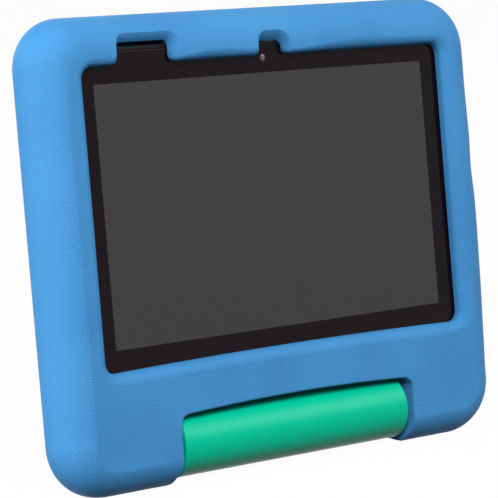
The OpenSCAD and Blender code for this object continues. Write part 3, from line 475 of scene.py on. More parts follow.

# %% [markdown]
# The window and the outer edge have different corners, so points on one have to be paired with points on
# the other. The pairs below are listed at each corner, notch and toe; between two pairs both
# outlines get the same number of even steps. Each pair also says how wide and how deep the lip's rounding
# is there.
# Where it is wider than deep, as on the right side, the arc is stretched to an ellipse.

# %% Pairs of points on the window and on the outside
PITCH, FEWEST_STEPS = 1.25, 4
MOUTH_OUT, WALL_OUT, HIGH_OUT, TOP_OUT = 8.6, 6.8, 5.4, 0.4
SHELF_ABOVE = 0.6
SHELF_STEP = shell_high[1] + SHELF_ABOVE
BESIDE_CAMERA, BETWEEN_NOTCHES = 46.0, -28.0
left, right, low, high = WINDOW_LEFT, WINDOW_RIGHT, WINDOW_BOTTOM, WINDOW_TOP
bend, sole, crown = WINDOW_CORNER, CASE_BOTTOM, CASE_TOP
pairs = np.array([
    # x and y on the window, x and y on the outside, width and depth of the lip's rounding
    # from the middle of the lower lip to the right, along the barrel's opening
    (0.0, low, 0.0, BITE_TOP, 5.0, 5.2),
    (57.0, low, BITE_HALF - BITE_RIGHT_CORNER, BITE_TOP, 5.0, 5.2),
    (66.0, low, BITE_HALF, BITE_TOP - BITE_RIGHT_CORNER, 5.0, 5.2),
    (74.0, low, BITE_HALF, sole + TOE_CORNER, 5.0, 5.2),
    (77.0, low, BITE_HALF + TOE_CORNER, sole, 5.0, 5.2),
    # up the right side
    (right - bend, low, CASE_HALF - BOTTOM_RIGHT_CORNER, sole, 4.2, 4.6),
    (right, low + bend, CASE_HALF, sole + BOTTOM_RIGHT_CORNER, 6.8, 3.6),
    (right, 0.0, CASE_HALF, 0.0, 9.4, 2.8),
    (right, high - bend, CASE_HALF, crown - TOP_RIGHT_CORNER, 8.8, 3.0),
    (right - bend, high, CASE_HALF - TOP_RIGHT_CORNER, crown, 3.6, 4.2),
    (BESIDE_CAMERA, high, BESIDE_CAMERA, crown, 4.6, 5.2),
    # round the camera's notch
    (CAMERA_RIGHT + CAMERA_RIGHT_MOUTH, high, CAMERA_RIGHT + MOUTH_OUT, crown, 1.5, 2.6),
    (CAMERA_RIGHT, high + CAMERA_RIGHT_MOUTH, CAMERA_RIGHT + WALL_OUT, crown, 1.6, 4.0),
    (CAMERA_RIGHT - CAMERA_RIGHT_CORNER, CAMERA_TOP, CAMERA_RIGHT - TOP_OUT, crown, 4.4, 5.0),
    (CAMERA_LEFT + CAMERA_LEFT_CORNER, CAMERA_TOP, CAMERA_LEFT + TOP_OUT, crown, 4.4, 5.0),
    (CAMERA_LEFT, CAMERA_TOP - CAMERA_LEFT_CORNER, CAMERA_LEFT - WALL_OUT, crown, 3.0, 4.8),
    (CAMERA_LEFT - CAMERA_LEFT_MOUTH, high, CAMERA_LEFT - MOUTH_OUT, crown, 2.8, 3.4),
    (BETWEEN_NOTCHES, high, BETWEEN_NOTCHES, crown, 4.2, 4.8),
    # round the speaker's notch
    (SPEAKER_RIGHT + RIGHT_MOUTH, high, SPEAKER_RIGHT + MOUTH_OUT, crown, 1.8, 2.8),
    (SPEAKER_RIGHT, high + RIGHT_MOUTH, SPEAKER_RIGHT + WALL_OUT, crown, 2.3, 4.2),
    (SPEAKER_RIGHT, SHELF_STEP, SPEAKER_RIGHT + HIGH_OUT, crown, 3.9, 4.4),
    (SPEAKER_RIGHT - NOTCH_CORNER, SPEAKER_TOP, SPEAKER_RIGHT - TOP_OUT, crown, 3.5, 4.1),
    (SPEAKER_LEFT + NOTCH_CORNER, SPEAKER_TOP, SPEAKER_LEFT + TOP_OUT, crown, 3.5, 4.1),
    (SPEAKER_LEFT, SHELF_STEP, SPEAKER_LEFT - WALL_OUT, crown, 2.4, 4.0),
    (SPEAKER_LEFT - LEFT_MOUTH, high, SPEAKER_LEFT - MOUTH_OUT, crown, 3.2, 3.6),
    # down the left side
    (left + bend, high, TOP_LEFT_CORNER - CASE_HALF, crown, 3.2, 3.6),
    (left, high - bend, -CASE_HALF, crown - TOP_LEFT_CORNER, 3.2, 3.6),
    (left, 0.0, -CASE_HALF, 0.0, 3.4, 3.8),
    (left, low + bend, -CASE_HALF, sole + BOTTOM_LEFT_CORNER, 4.0, 4.4),
    (left + bend, low, BOTTOM_LEFT_CORNER - CASE_HALF, sole, 4.6, 5.0),
    # back to the middle of the lower lip
    (-77.0, low, -BITE_HALF - TOE_CORNER, sole, 5.0, 5.2),
    (-74.0, low, -BITE_HALF, sole + TOE_CORNER, 5.0, 5.2),
    (-66.0, low, -BITE_HALF, BITE_TOP - BITE_LEFT_CORNER, 5.0, 5.2),
    (-55.0, low, BITE_LEFT_CORNER - BITE_HALF, BITE_TOP, 5.0, 5.2),
])
on_window, on_outside = pairs[:, 0:2], pairs[:, 2:4]
window_marks = window.nearest(on_window)
outside_marks = outside.nearest(on_outside)
stretch = np.maximum(
    np.diff(window_marks, append=window.length + window_marks[0]),
    np.diff(outside_marks, append=outside.length + outside_marks[0]),
)
counts = np.maximum(np.ceil(stretch / PITCH).astype(int), FEWEST_STEPS)
station = np.append(0, np.cumsum(counts))
around = np.arange(station[-1])
lip_width, lip_depth = (np.interp(around, station, np.append(row, row[0])) for row in pairs.T[4:])
print("points round the bumper:", station[-1])

# %% [markdown]
# The lower lip and the top of the barrel's opening aren't straight on the real piece: both bow upwards a
# little in the middle, as foam does when it shrinks in its mould. The bow is a parabola.

# %% Points of all outlines
WINDOW_BOW, BITE_BOW = 1.4, 1.9
BOW_UP_TO, BOW_FADE = 12.0, 10.0


def bow(x, half_width, rise):
    """Parabola rise * (1 - (x / half_width)^2), never below 0."""
    return rise * np.clip(1 - (x / half_width) ** 2, 0, None)


window_at, window_out = window.at(spread(window, window_marks, counts))
low_lip = smooth_step((WINDOW_BOTTOM + BOW_UP_TO - window_at[:, 1]) / BOW_FADE)
window_at[:, 1] += low_lip * bow(window_at[:, 0], WINDOW_RIGHT, WINDOW_BOW)
outside_at, outside_out = outside.at(spread(outside, outside_marks, counts))
below_window = outside_at[:, 1] < WINDOW_BOTTOM
outside_at[:, 1] += np.where(below_window, bow(outside_at[:, 0], BITE_HALF, BITE_BOW), 0.0)
pocket_at, _ = pocket.at(spread(pocket, pocket.nearest(on_window), counts))
recess_at, recess_out = recess.at(spread(recess, recess.nearest(on_window), counts))
print("the lower lip bows up by", WINDOW_BOW, "mm, the opening by", BITE_BOW, "mm")

# %% [markdown]
# Seen from the front, the bumper is a landscape: flat in the middle, rolling down towards the outer edge
# and, a little, towards the barrel's opening. A point's distances from these two decide its height, and the
# two roundings simply add up. That is why the feet end as the real ones do, in a flat inner wall on which
# the large rounding of the toe shows as a quarter circle. The flat face cuts a little off the top of the
# outer rounding, which leaves a faint line on the left and over the feet. The back is done the same way.

# %% Distances from the outer edge and from the opening
BITE_DEEP = 100.0


def box_distance(points, low, high, corner):
    """Signed distance from a rounded rectangle, negative inside. With q = |p - middle| - half size + corner
    it is the length of q's positive part, plus q's larger entry where that is negative, less the corner."""
    low, high = np.array(low), np.array(high)
    q = np.abs(points - (low + high) / 2) - (high - low) / 2 + np.asarray(corner)[..., None]
    return np.linalg.norm(np.maximum(q, 0), axis=-1) + np.minimum(q.max(-1), 0) - corner


def from_edge(points):
    """Distance in from the outer edge, as if it had no opening for the barrel."""
    x, y = points.T
    left = np.where(y > 0, TOP_LEFT_CORNER, BOTTOM_LEFT_CORNER)
    corner = np.where(x < 0, left, np.where(y > 0, TOP_RIGHT_CORNER, BOTTOM_RIGHT_CORNER))
    return -box_distance(points, (-CASE_HALF, CASE_BOTTOM), (CASE_HALF, CASE_TOP), corner)


def from_bite(points):
    """Distance from the barrel's opening, which goes on downwards past the soles."""
    x, y = points.T
    straight = np.column_stack([x, y - bow(x, BITE_HALF, BITE_BOW)])
    corner = np.where(x < 0, BITE_LEFT_CORNER, BITE_RIGHT_CORNER)
    return box_distance(straight, (-BITE_HALF, CASE_BOTTOM - BITE_DEEP), (BITE_HALF, BITE_TOP), corner)


def rolled_down(radius, distance, cut=0.0):
    """How far a rounding has sunk at a distance in from its edge: r - sqrt(r^2 - (r - d)^2). A face that
    cuts the top off the rounding meets it in a soft edge."""
    sunk = radius - np.sqrt(radius**2 - np.clip(radius - distance, 0, radius) ** 2)
    return np.maximum(sunk - cut, 0)


middle = np.array([[0.0, WINDOW_BOTTOM]])
print("the lower lip's middle is", from_bite(middle).round(1), "mm above the opening")

# %% [markdown]
# The outer rounding is large at the sides and smaller under the feet. On the right its radius changes along
# the edge, which gives the outline its faint bend: a short table says how much less it is at some heights,
# and a bell-shaped window smooths the table.

# %% Height of the front and of the back
SIDE_ROUND, FOOT_ROUND, BITE_ROUND = 17.0, 15.0, 1.0
BACK_ROUND, BITE_BACK_ROUND = 8.6, 2.0
RIGHT_HEIGHTS = (-120.0, -85.0, -64.0, -50.0, -22.0, -9.0, 5.0, 19.0, 40.0, 61.0, 100.0)
RIGHT_LESS = (0.0, 0.4, 1.6, 2.5, 3.3, 3.3, 1.7, 2.6, 1.5, 1.7, 2.0)
RIGHT_FROM, RIGHT_FADE = 60.0, 50.0
BELL_MM = 13
LEFT_CUT, RIGHT_CUT, FOOT_CUT = 0.55, 0.25, 0.6
LINE_TOP, LINE_FADE = 34.0, 16.0
FOOT_FROM, FOOT_FADE = 32.0, 24.0
FOOT_DRAFT, DRAFT_FROM, DRAFT_FADE = 0.8, 15.0, 25.0
LOWEST, HIGHEST = -150.0, 130.0
heights = np.arange(LOWEST, HIGHEST)
bell = np.hanning(BELL_MM + 2)
less_along = np.convolve(np.interp(heights, RIGHT_HEIGHTS, RIGHT_LESS), bell / bell.sum(), "same")


def near_foot(points):
    """Goes from 0 above the feet to 1 at their soles."""
    return smooth_step((CASE_BOTTOM + FOOT_FROM - points[:, 1]) / FOOT_FADE)


def front_round(points):
    """Radius of the outer rounding: it follows the table on the right and is smaller under the feet."""
    x, y = points.T
    side = SIDE_ROUND - np.interp(y, heights, less_along) * smooth_step((x - RIGHT_FROM) / RIGHT_FADE)
    return side + (FOOT_ROUND - side) * near_foot(points)


def front_level(points):
    """Height of the front at board points, with a slight draft towards the toes."""
    x, y = points.T
    draft = FOOT_DRAFT * smooth_step((WINDOW_BOTTOM - DRAFT_FROM - y) / DRAFT_FADE)
    on_left = smooth_step(-x / WINDOW_RIGHT)
    below_top = smooth_step((CASE_TOP - y - LINE_TOP + LINE_FADE) / LINE_FADE)
    line = (RIGHT_CUT + (LEFT_CUT - RIGHT_CUT) * on_left) * below_top
    cut = line + (FOOT_CUT - line) * near_foot(points)
    outer = rolled_down(front_round(points), from_edge(points), cut)
    return LIP_FRONT - draft - outer - rolled_down(BITE_ROUND, from_bite(points))


def back_level(points):
    """Height of the rim at the back, which rises in the same way."""
    outer = rolled_down(BACK_ROUND, from_edge(points))
    return RIM_BACK + outer + rolled_down(BITE_BACK_ROUND, from_bite(points))


print("foam at the lower lip's middle:", (front_level(middle) - back_level(middle)).round(1), "mm thick")

# %% [markdown]
# Now the section. Each row is one ring of points round the whole bumper: an outline, moved along its
# normals, at some height. A quarter circle of radius r takes the offset r (1 - cos a) while the height
# changes by r sin a. The first rings line the pocket and come out under the lip. Over the speaker the shelf
# below the lip drops, so that the sound gets out. Inside the two notches the lip's arc is straightened into
# a slope, which meets the front in a crisp edge.

# %% Rings of the pocket and of the lip
POCKET_ROUND, POCKET_STEPS = 3.0, 4
POCKET_SHARES = (0.3, 0.65, 0.93)
GLASS_CLEAR = 0.03
SHELF_IN, SHELF_UP_TO = 0.4, 1.0
SOUND_SHELF, SOUND_FROM = -9.0, 0.2
NOTCH_SLOPE, SLOPE_FROM = 0.85, 3.0
LIP_EDGE, LIP_STEPS = 0.3, 10


def ring(points, depth):
    """One ring: board points at a depth, which may differ from point to point."""
    return np.column_stack([points, np.broadcast_to(depth, len(points))])


over_speaker = window_at[:, 1] > SHELF_STEP + SOUND_FROM
shelf = np.where(over_speaker, SOUND_SHELF, GLASS_CLEAR)
shelf_in = np.where(window_at[:, 1] > WINDOW_TOP + SHELF_UP_TO, 0.0, SHELF_IN)
rings = [ring(pocket_at * share, POCKET_BACK) for share in POCKET_SHARES]
pocket_reach = np.abs(pocket_at).max()
for angle in np.linspace(0, np.pi / 2, POCKET_STEPS):
    shrink = 1 - POCKET_ROUND * (1 - np.sin(angle)) / pocket_reach
    rings.append(ring(pocket_at * shrink, POCKET_BACK + POCKET_ROUND * (1 - np.cos(angle))))
rings.append(ring(pocket_at, np.maximum(shelf, POCKET_BACK + POCKET_ROUND)))
rings.append(ring(window_at + window_out * shelf_in[:, None], shelf))
rings.append(ring(window_at, 2 * GLASS_CLEAR))

lip_arc = np.minimum(lip_width, lip_depth)
lip_turn = 2 * np.arctan2(lip_arc, lip_depth)
lip_radius = lip_depth / np.sin(lip_turn)
sloped = NOTCH_SLOPE * smooth_step((window_at[:, 1] - WINDOW_TOP) / SLOPE_FROM)
for step in np.linspace(0, 1, LIP_STEPS):
    angle = lip_turn * step
    over = lip_radius * (1 - np.cos(angle)) * lip_width / lip_arc
    up = lip_radius * np.sin(angle)
    over += (lip_width * step - over) * sloped
    up += (lip_depth * step - up) * sloped
    lip = window_at + window_out * over[:, None]
    rings.append(ring(lip, front_level(lip) - lip_depth + up))
lip = lip + window_out * LIP_EDGE
rings.append(ring(lip, front_level(lip)))
print("rings up to the lip's edge:", len(rings))

# %% [markdown]
# The next rings cross the front from the lip, closer together towards the outer edge, and then go round it,
# at the landscape's heights. Near the barrel's opening the rings that go round take only as much room as
# its small rounding needs, and nowhere more than a share of the way to the lip.

# %% Rings of the front and of the outer edge
EDGE_REACH, EDGE_SHARE = 10.0, 0.75
BITE_FADE = 10.0
FRONT_STEPS, EDGE_STEPS = 18, 18
SIDE_SHARES = (0.25, 0.5, 0.75)
by_bite = smooth_step((from_bite(outside_at) - BITE_ROUND) / BITE_FADE)
reach = BITE_ROUND + (EDGE_REACH - BITE_ROUND) * by_bite
spare = EDGE_SHARE * np.minimum(from_edge(lip), from_bite(lip))
first_angle = np.arcsin(1 - np.minimum(reach, spare) / reach)
edge = outside_at - outside_out * (reach * (1 - np.sin(first_angle)))[:, None]
for step in np.arange(1, FRONT_STEPS) / FRONT_STEPS:
    between = lip + (edge - lip) * (1 - (1 - step) ** 2)
    rings.append(ring(between, front_level(between)))
for step in np.linspace(0, 1, EDGE_STEPS):
    angle = first_angle + (np.pi / 2 - first_angle) * step
    edge = outside_at - outside_out * (reach * (1 - np.sin(angle)))[:, None]
    rings.append(ring(edge, front_level(edge)))
side_front, side_back = front_level(outside_at), back_level(outside_at)
for share in SIDE_SHARES:
    rings.append(ring(outside_at, side_front + (side_back - side_front) * share))
print("rings up to the back:", len(rings))

# %% [markdown]
# The last rings go round the rear edge, over the rim and down into the recess, whose mouth is flared by a
# quarter circle. The thin skin at its bottom lies behind the tablet.

# %% Rings of the back and of the recess
BACK_STEPS, BRIM_STEPS, FLARE_STEPS = 9, 8, 6
RECESS_FLARE = 2.5
SKIN_SHARES = (1.0, 0.9, 0.6, 0.3)
reach = BITE_ROUND + (BACK_ROUND - BITE_ROUND) * by_bite
for angle in np.linspace(0, np.pi / 2, BACK_STEPS):
    edge = outside_at - outside_out * (reach * (1 - np.cos(angle)))[:, None]
    rings.append(ring(edge, back_level(edge)))
brim = recess_at + recess_out * RECESS_FLARE
for step in np.arange(1, BRIM_STEPS) / BRIM_STEPS:
    between = edge + (brim - edge) * step**2
    rings.append(ring(between, back_level(between)))
for angle in np.linspace(np.pi / 2, 0, FLARE_STEPS):
    flared = recess_at + recess_out * (RECESS_FLARE * (1 - np.cos(angle)))
    rings.append(ring(flared, RIM_BACK + RECESS_FLARE * (1 - np.sin(angle))))
for share in SKIN_SHARES:
    rings.append(ring(recess_at * share, SKIN_BACK))
rings = np.stack(rings)
print("foam rings:", len(rings), "points in each:", len(window_at))

# %% [markdown]
# The barrel's end on the left sits close to the foam, while on the right there is a visible gap. The walls
# of the opening are therefore shifted: the left one laps over at its front edge, and the right one stands
# back, less so at the toe. The shift fades out within a finger's width of the wall. The feet stand flat:
# where their rounding would reach below the floor, it is pressed up to it.

# %% Walls of the barrel's opening, and soles
LEFT_LAP, LAP_FADE, LAP_FRONT = 1.5, 4.0, 2.5
TOE_ROOM, WALL_ROOM, ROOM_UP_TO = 0.2, 1.5, 0.6
ROOM_ABOVE, ROOM_FADE = 2.0, 6.0
WALL_SPREAD = 12.0
FLOOR_LEVEL = 0.0
x, y, z = rings[..., 0], rings[..., 1], rings[..., 2]
down = np.clip((BITE_TOP - y) / (BITE_TOP - CASE_BOTTOM), 0, 1)
room = TOE_ROOM + WALL_ROOM * smooth_step((1 - down) / (1 - ROOM_UP_TO))
room = room * smooth_step((BITE_TOP + ROOM_ABOVE - y) / ROOM_FADE)
x += room * smooth_step(1 - np.abs(x - BITE_HALF) / WALL_SPREAD)
lap = LEFT_LAP * smooth_step((BITE_TOP - y) / LAP_FADE)
lap = lap * smooth_step(1 - np.abs(x + BITE_HALF) / WALL_SPREAD)
x += lap * smooth_step(z / LAP_FRONT)
foam = skin_grid("foam_bumper_soft", rings)

flat = np.empty(3 * len(foam.data.vertices), np.float32)
foam.data.vertices.foreach_get("co", flat)
points = flat.reshape(-1, 3)
below = points[:, 2] < FLOOR_LEVEL
points[:, 2] = np.maximum(points[:, 2], FLOOR_LEVEL)
foam.data.vertices.foreach_set("co", points.ravel())
print("points pressed up to the floor:", below.sum())

# %% [markdown]
# What remains is cut out of the block, as a tool in the mould would leave it: the hollow of the barrel, the
# way for the loop when it folds up behind, the slot over the keys and sockets, and the hole for the rear
# camera. A cutter is a plug made of rings too. Its mouth can widen by a quarter circle, which leaves a
# round edge.

# %% Forms of the cutters
# each turn puts the outline's x, its y and the depth on the board
ALONG_X = ((0, 0, 1), (0, 1, 0), (1, 0, 0))
FORWARDS = ((1, 0, 0), (0, 1, 0), (0, 0, 1))
BACKWARDS = ((1, 0, 0), (0, 1, 0), (0, 0, -1))
HAIR = 0.001
HOLLOW_RADIUS = 15.0


def circle(radius):
    """A frame with full round corners, less a hair, because a path needs some straight between its arcs."""
    return plain_frame(-radius, radius, -radius, radius, radius - HAIR)


def flared_levels(bottom, mouth, flare, beyond):
    """Rows of offset and depth: straight up to the flare, a quarter circle out to the mouth, straight on."""
    angle = np.linspace(0, np.pi / 2, FLARE_STEPS)
    rolled = list(zip(flare * (1 - np.cos(angle)), mouth - flare * (1 - np.sin(angle))))
    return [(0.0, bottom)] + rolled + [(flare, mouth + beyond)]


print("hollow:", round(circle(HOLLOW_RADIUS).length, 1), "mm round")

# %% [markdown]
# Each cutter has its place: the hollow on the hinge, the slot between the power key and the headphone
# socket, the hole on the rear lens. Boolean modifiers take them out of the foam, and the cutters are
# deleted. Faces that meet at a clear angle keep their edge.

# %% Carving
# cutters stop this much short of a wall, and leave this much straight between two arcs
SHORT = 0.1
WAY_CLEAR, WAY_BEYOND, WAY_CORNER = 0.05, 20.0, 2.0
SLOT_LENGTH, SLOT_WIDTH, SLOT_FLARE, SLOT_INTO_SHELL, SLOT_BEYOND = 92.0, 8.6, 1.2, 2.0, 4.0
VIEW_RADIUS, VIEW_FLARE, VIEW_INTO_POCKET, VIEW_BEYOND = 7.0, 1.5, 2.0, 3.0
SHARP_FROM = math.radians(38.0)
key_low, key_high = board_box("power_button")
jack_low, _ = board_box("headphone_jack")
lens_low, lens_high = board_box("rear_lens")
way_path = plain_frame(
    -BITE_HALF + SHORT, BITE_HALF - SHORT, CASE_BOTTOM - WAY_BEYOND, WINDOW_BOTTOM, WAY_CORNER
)
slot_path = plain_frame(
    -SLOT_WIDTH / 2, SLOT_WIDTH / 2, -SLOT_LENGTH / 2, SLOT_LENGTH / 2, SLOT_WIDTH / 2 - SHORT
)
CUTTERS = {
    # name: outline, points round it, levels, turn, place on the board
    "hollow": (
        circle(HOLLOW_RADIUS), 96, [(0.0, -BITE_HALF + LEFT_LAP + SHORT), (0.0, BITE_HALF - SHORT)],
        ALONG_X, (0.0, hinge[1], hinge[2]),
    ),
    "way": (
        way_path, 160, [(0.0, RIM_BACK - WAY_BEYOND), (0.0, SKIN_BACK - WAY_CLEAR)],
        FORWARDS, (0.0, 0.0, 0.0),
    ),
    "slot": (
        slot_path, 240, flared_levels(shell_high[0] - SLOT_INTO_SHELL, CASE_HALF, SLOT_FLARE, SLOT_BEYOND),
        ALONG_X, (0.0, (key_high[1] + jack_low[1]) / 2, (key_low[2] + key_high[2]) / 2),
    ),
    "view_hole": (
        circle(VIEW_RADIUS), 64,
        flared_levels(-POCKET_BACK - VIEW_INTO_POCKET, -SKIN_BACK, VIEW_FLARE, VIEW_BEYOND),
        BACKWARDS, (*(lens_low + lens_high)[:2] / 2, 0.0),
    ),
}
cutters = []
for name, (outline, count, levels, turn, shift) in CUTTERS.items():
    at, out = outline.at(np.linspace(0, outline.length, count, endpoint=False))
    stack = np.stack([ring(at + out * offset, depth) for offset, depth in levels])
    cutter = skin_grid(name, stack @ np.array(turn, float))
    cutter.data.transform(Matrix.Translation((np.array(shift) * MM) @ AXES))
    cut = foam.modifiers.new(name, "BOOLEAN")
    cut.object = cutter
    cut.solver = "EXACT"
    cutters.append(cutter)
bpy.context.view_layer.update()
carved = bpy.data.meshes.new_from_object(foam.evaluated_get(bpy.context.evaluated_depsgraph_get()))
foam.modifiers.clear()
foam.data = carved
for cutter in cutters:
    bpy.data.objects.remove(cutter)
carved.polygons.foreach_set("use_smooth", np.ones(len(carved.polygons), bool))
carved.set_sharp_from_angle(angle=SHARP_FROM)
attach(foam, "case")
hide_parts("foam_bumper")
print("foam faces after carving:", len(carved.polygons))

# %% [markdown]
# ## Moulded foam
#
# The bumper is ethylene-vinyl acetate foam. Its skin formed against a sandblasted mould, so it is matt and
# finely pebbled, with grains well under a millimetre wide, and the colour varies slightly from place to
# place. A cell pattern gives the pebbles and a finer noise breaks them up; both only tilt the surface.

# %% Foam finish
# pebbles a little coarser than real ones, so that they show in a picture of the whole object
PEBBLE_MM, PEBBLE_HEIGHT_MM, PEBBLE_BLUR = 0.65, 0.42, 0.7
SPECKLES_TO_A_PEBBLE, SPECKLE_SHARE = 3, 0.35
BUMP_STRENGTH = 0.8
CLOUD_MM = 40.0
FOAM_SHADES = ((0.3, "#458fcc"), (0.7, "#4b98d5"))
FOAM_ROUGHNESS, FOAM_SPECULAR = 0.5, 0.08
foam_skin, tree = new_material("moulded_eva_foam")
spot = (add_node(tree, "TexCoord"), "Object")
pebbles = add_node(tree, "TexVoronoi", {"Vector": spot, "Scale": 1 / (PEBBLE_MM * MM)}, feature="SMOOTH_F1")
pebbles.inputs["Smoothness"].default_value = PEBBLE_BLUR
speckle = add_node(tree, "TexNoise", {
    "Vector": spot, "Scale": SPECKLES_TO_A_PEBBLE / (PEBBLE_MM * MM), "Detail": 3.0,
})
grain = add_node(tree, "MixRGB", {0: SPECKLE_SHARE, 1: (pebbles, "Distance"), 2: (speckle, "Fac")})
bump = add_node(tree, "Bump", {
    "Height": (grain, "Color"), "Strength": BUMP_STRENGTH, "Distance": PEBBLE_HEIGHT_MM * MM,
})
clouds = add_node(tree, "TexNoise", {"Vector": spot, "Scale": 1 / (CLOUD_MM * MM), "Detail": 2.0})
shade = add_node(tree, "ValToRGB", {"Fac": (clouds, "Fac")})
for stop, (position, colour) in zip(shade.color_ramp.elements, FOAM_SHADES):
    stop.position = position
    stop.color = tint(colour)
skin = add_node(tree, "BsdfPrincipled", {
    "Base Color": (shade, "Color"), "Roughness": FOAM_ROUGHNESS, "Specular IOR Level": FOAM_SPECULAR,
    "Normal": (bump, "Normal"),
})
add_node(tree, "OutputMaterial", {"Surface": (skin, "BSDF")})
carved.materials.clear()
carved.materials.append(foam_skin)
print("foam finish:", foam_skin.name, "with", PEBBLE_MM, "mm pebbles")

# %% [markdown]
# ## Satin green plastic
#
# Barrel and loop are polypropylene from a spark-eroded mould: satin, with a very fine even texture that
# softens the highlight along the barrel. Patches a finger wide are a little smoother and lighter.

# %% Green plastic
# an eroded texture is about 0.1 mm wide; it is drawn coarser, because it wouldn't show
SATIN_MM, SATIN_HEIGHT_MM, SATIN_BUMP = 0.5, 0.03, 0.12
PATCH_MM = 12
SMOOTHEST, ROUGHEST = 0.28, 0.36
GREENS = ("#00cba0", "#00c498")
POLYPROPYLENE_IOR, SATIN_SPECULAR = 1.49, 0.11
green_plastic, tree = new_material("satin_polypropylene")
spot = (add_node(tree, "TexCoord"), "Object")
fine = add_node(tree, "TexNoise", {"Vector": spot, "Scale": 1 / (SATIN_MM * MM), "Detail": 2.0})
bump = add_node(tree, "Bump", {
    "Height": (fine, "Fac"), "Strength": SATIN_BUMP, "Distance": SATIN_HEIGHT_MM * MM,
})
patchy = add_node(tree, "TexNoise", {"Vector": spot, "Scale": 1 / (PATCH_MM * MM), "Detail": 2.0})
rough = add_node(tree, "MapRange", {"Value": (patchy, "Fac"), "To Min": SMOOTHEST, "To Max": ROUGHEST})
greens = add_node(tree, "MixRGB", {0: (patchy, "Fac"), 1: tint(GREENS[0]), 2: tint(GREENS[1])})
satin = add_node(tree, "BsdfPrincipled", {
    "Base Color": (greens, "Color"), "Roughness": (rough, "Result"), "IOR": POLYPROPYLENE_IOR,
    "Specular IOR Level": SATIN_SPECULAR, "Normal": (bump, "Normal"),
})
add_node(tree, "OutputMaterial", {"Surface": (satin, "BSDF")})
dress(green_plastic, "stand_handle", "barrel_cap_left", "barrel_cap_right")
print("green finish:", green_plastic.name, "with", SATIN_MM, "mm texture")

# %% [markdown]
# ## Glass over a dark display
#
# The cover glass is printed black behind, except for the picture area, where the switched-off display shows
# dark grey. Printed ink lies directly under the glass, so one opaque glossy finish does it: two comparisons
# decide between ink and display. A coating weakens the reflections, and faint smudges make the polish vary.

# %% Cover glass
BORDER = 14.8
INK, DARK_DISPLAY = "#12060d", "#3f3f3f"
SMUDGE_MM, CLEANEST, SMUDGED = 25.0, 0.04, 0.1
GLASS_IOR, COATED_SPECULAR = 1.5, 0.115
PICTURE_HALF = (shell_high[0] - BORDER, shell_high[1] - BORDER)
glass_coat, tree = new_material("printed_cover_glass")
spot = (add_node(tree, "TexCoord"), "Object")
from_middle = add_node(tree, "VectorMath", {0: spot, 1: BOARD_ORIGIN.tolist()}, operation="SUBTRACT")
inside = []
for axis, half_width in zip((to_the_right, up_the_screen), PICTURE_HALF):
    along = add_node(
        tree, "VectorMath", {0: (from_middle, "Vector"), 1: axis.tolist()}, operation="DOT_PRODUCT"
    )
    away = add_node(tree, "Math", {0: (along, "Value")}, operation="ABSOLUTE")
    inside.append(add_node(tree, "Math", {0: (away, "Value"), 1: half_width * MM}, operation="LESS_THAN"))
in_picture = add_node(
    tree, "Math", {0: (inside[0], "Value"), 1: (inside[1], "Value")}, operation="MULTIPLY"
)
ink = add_node(tree, "MixRGB", {0: (in_picture, "Value"), 1: tint(INK), 2: tint(DARK_DISPLAY)})
smudge = add_node(tree, "TexNoise", {"Vector": spot, "Scale": 1 / (SMUDGE_MM * MM), "Detail": 4.0})
gloss = add_node(tree, "MapRange", {"Value": (smudge, "Fac"), "To Min": CLEANEST, "To Max": SMUDGED})
polish = add_node(tree, "BsdfPrincipled", {
    "Base Color": (ink, "Color"), "Roughness": (gloss, "Result"), "IOR": GLASS_IOR,
    "Specular IOR Level": COATED_SPECULAR,
})
add_node(tree, "OutputMaterial", {"Surface": (polish, "BSDF")})
dress(glass_coat, "front_glass")
print("picture area:", [round(2 * half_width, 1) for half_width in PICTURE_HALF], "mm")

# %% [markdown]
# The two camera lenses are small coated glasses in a dark tube. The pupil is painted paler than the tube, a
# painted reflection of light inside the lens, and the tube round it keeps its own dark colour: the distance
# from the middle, divided by the radius, looks up the colour.

# %% Lenses
LENS_RINGS = (0.45, 0.9)
LENS_ROUGHNESS, LENS_IOR, LENS_SPECULAR = 0.1, 1.6, 0.3
# each lens: the pupil's colour, a painted reflection of light inside the lens, and the tube's own dark
# colour
LENSES = {"front_lens": ("#58555a", "#2a282c"), "rear_lens": ("#2c2a34", "#101012")}
for node, (pupil_reflection, tube) in LENSES.items():
    low, high = board_box(node)
    radius = (high[0] - low[0]) / 2
    middle = to_world([*(low + high)[:2] / 2, high[2]])
    lens_glass, tree = new_material("coated_lens_of_" + node)
    spot = (add_node(tree, "TexCoord"), "Object")
    away = add_node(tree, "VectorMath", {0: spot, 1: middle.tolist()}, operation="DISTANCE")
    share = add_node(tree, "Math", {0: (away, "Value"), 1: 1 / (radius * MM)}, operation="MULTIPLY")
    # ramp from the painted pupil reflection in the middle to the dark tube at the rim
    pupil_reflection_and_tube = add_node(tree, "ValToRGB", {"Fac": (share, "Value")})
    for stop, position, colour in zip(pupil_reflection_and_tube.color_ramp.elements, LENS_RINGS, (pupil_reflection, tube)):
        stop.position = position
        stop.color = tint(colour)
    lens = add_node(tree, "BsdfPrincipled", {
        "Base Color": (pupil_reflection_and_tube, "Color"), "Roughness": LENS_ROUGHNESS, "IOR": LENS_IOR,
        "Specular IOR Level": LENS_SPECULAR,
    })
    add_node(tree, "OutputMaterial", {"Surface": (lens, "BSDF")})
    dress(lens_glass, node)
    print(node, "has a radius of", round(radius, 2), "mm")

# %% [markdown]
# ## The pieces that show little
#
# The tablet's rear shell is black ABS with a fine spark-eroded texture; the keys are smoother and dark
# grey, so that they can be found. Metal parts are plain steel or aluminium with a faint grain, and the
# inner pieces get the look of what they are: solder resist, foil, nylon, copper. One graph with other
# numbers does for all.

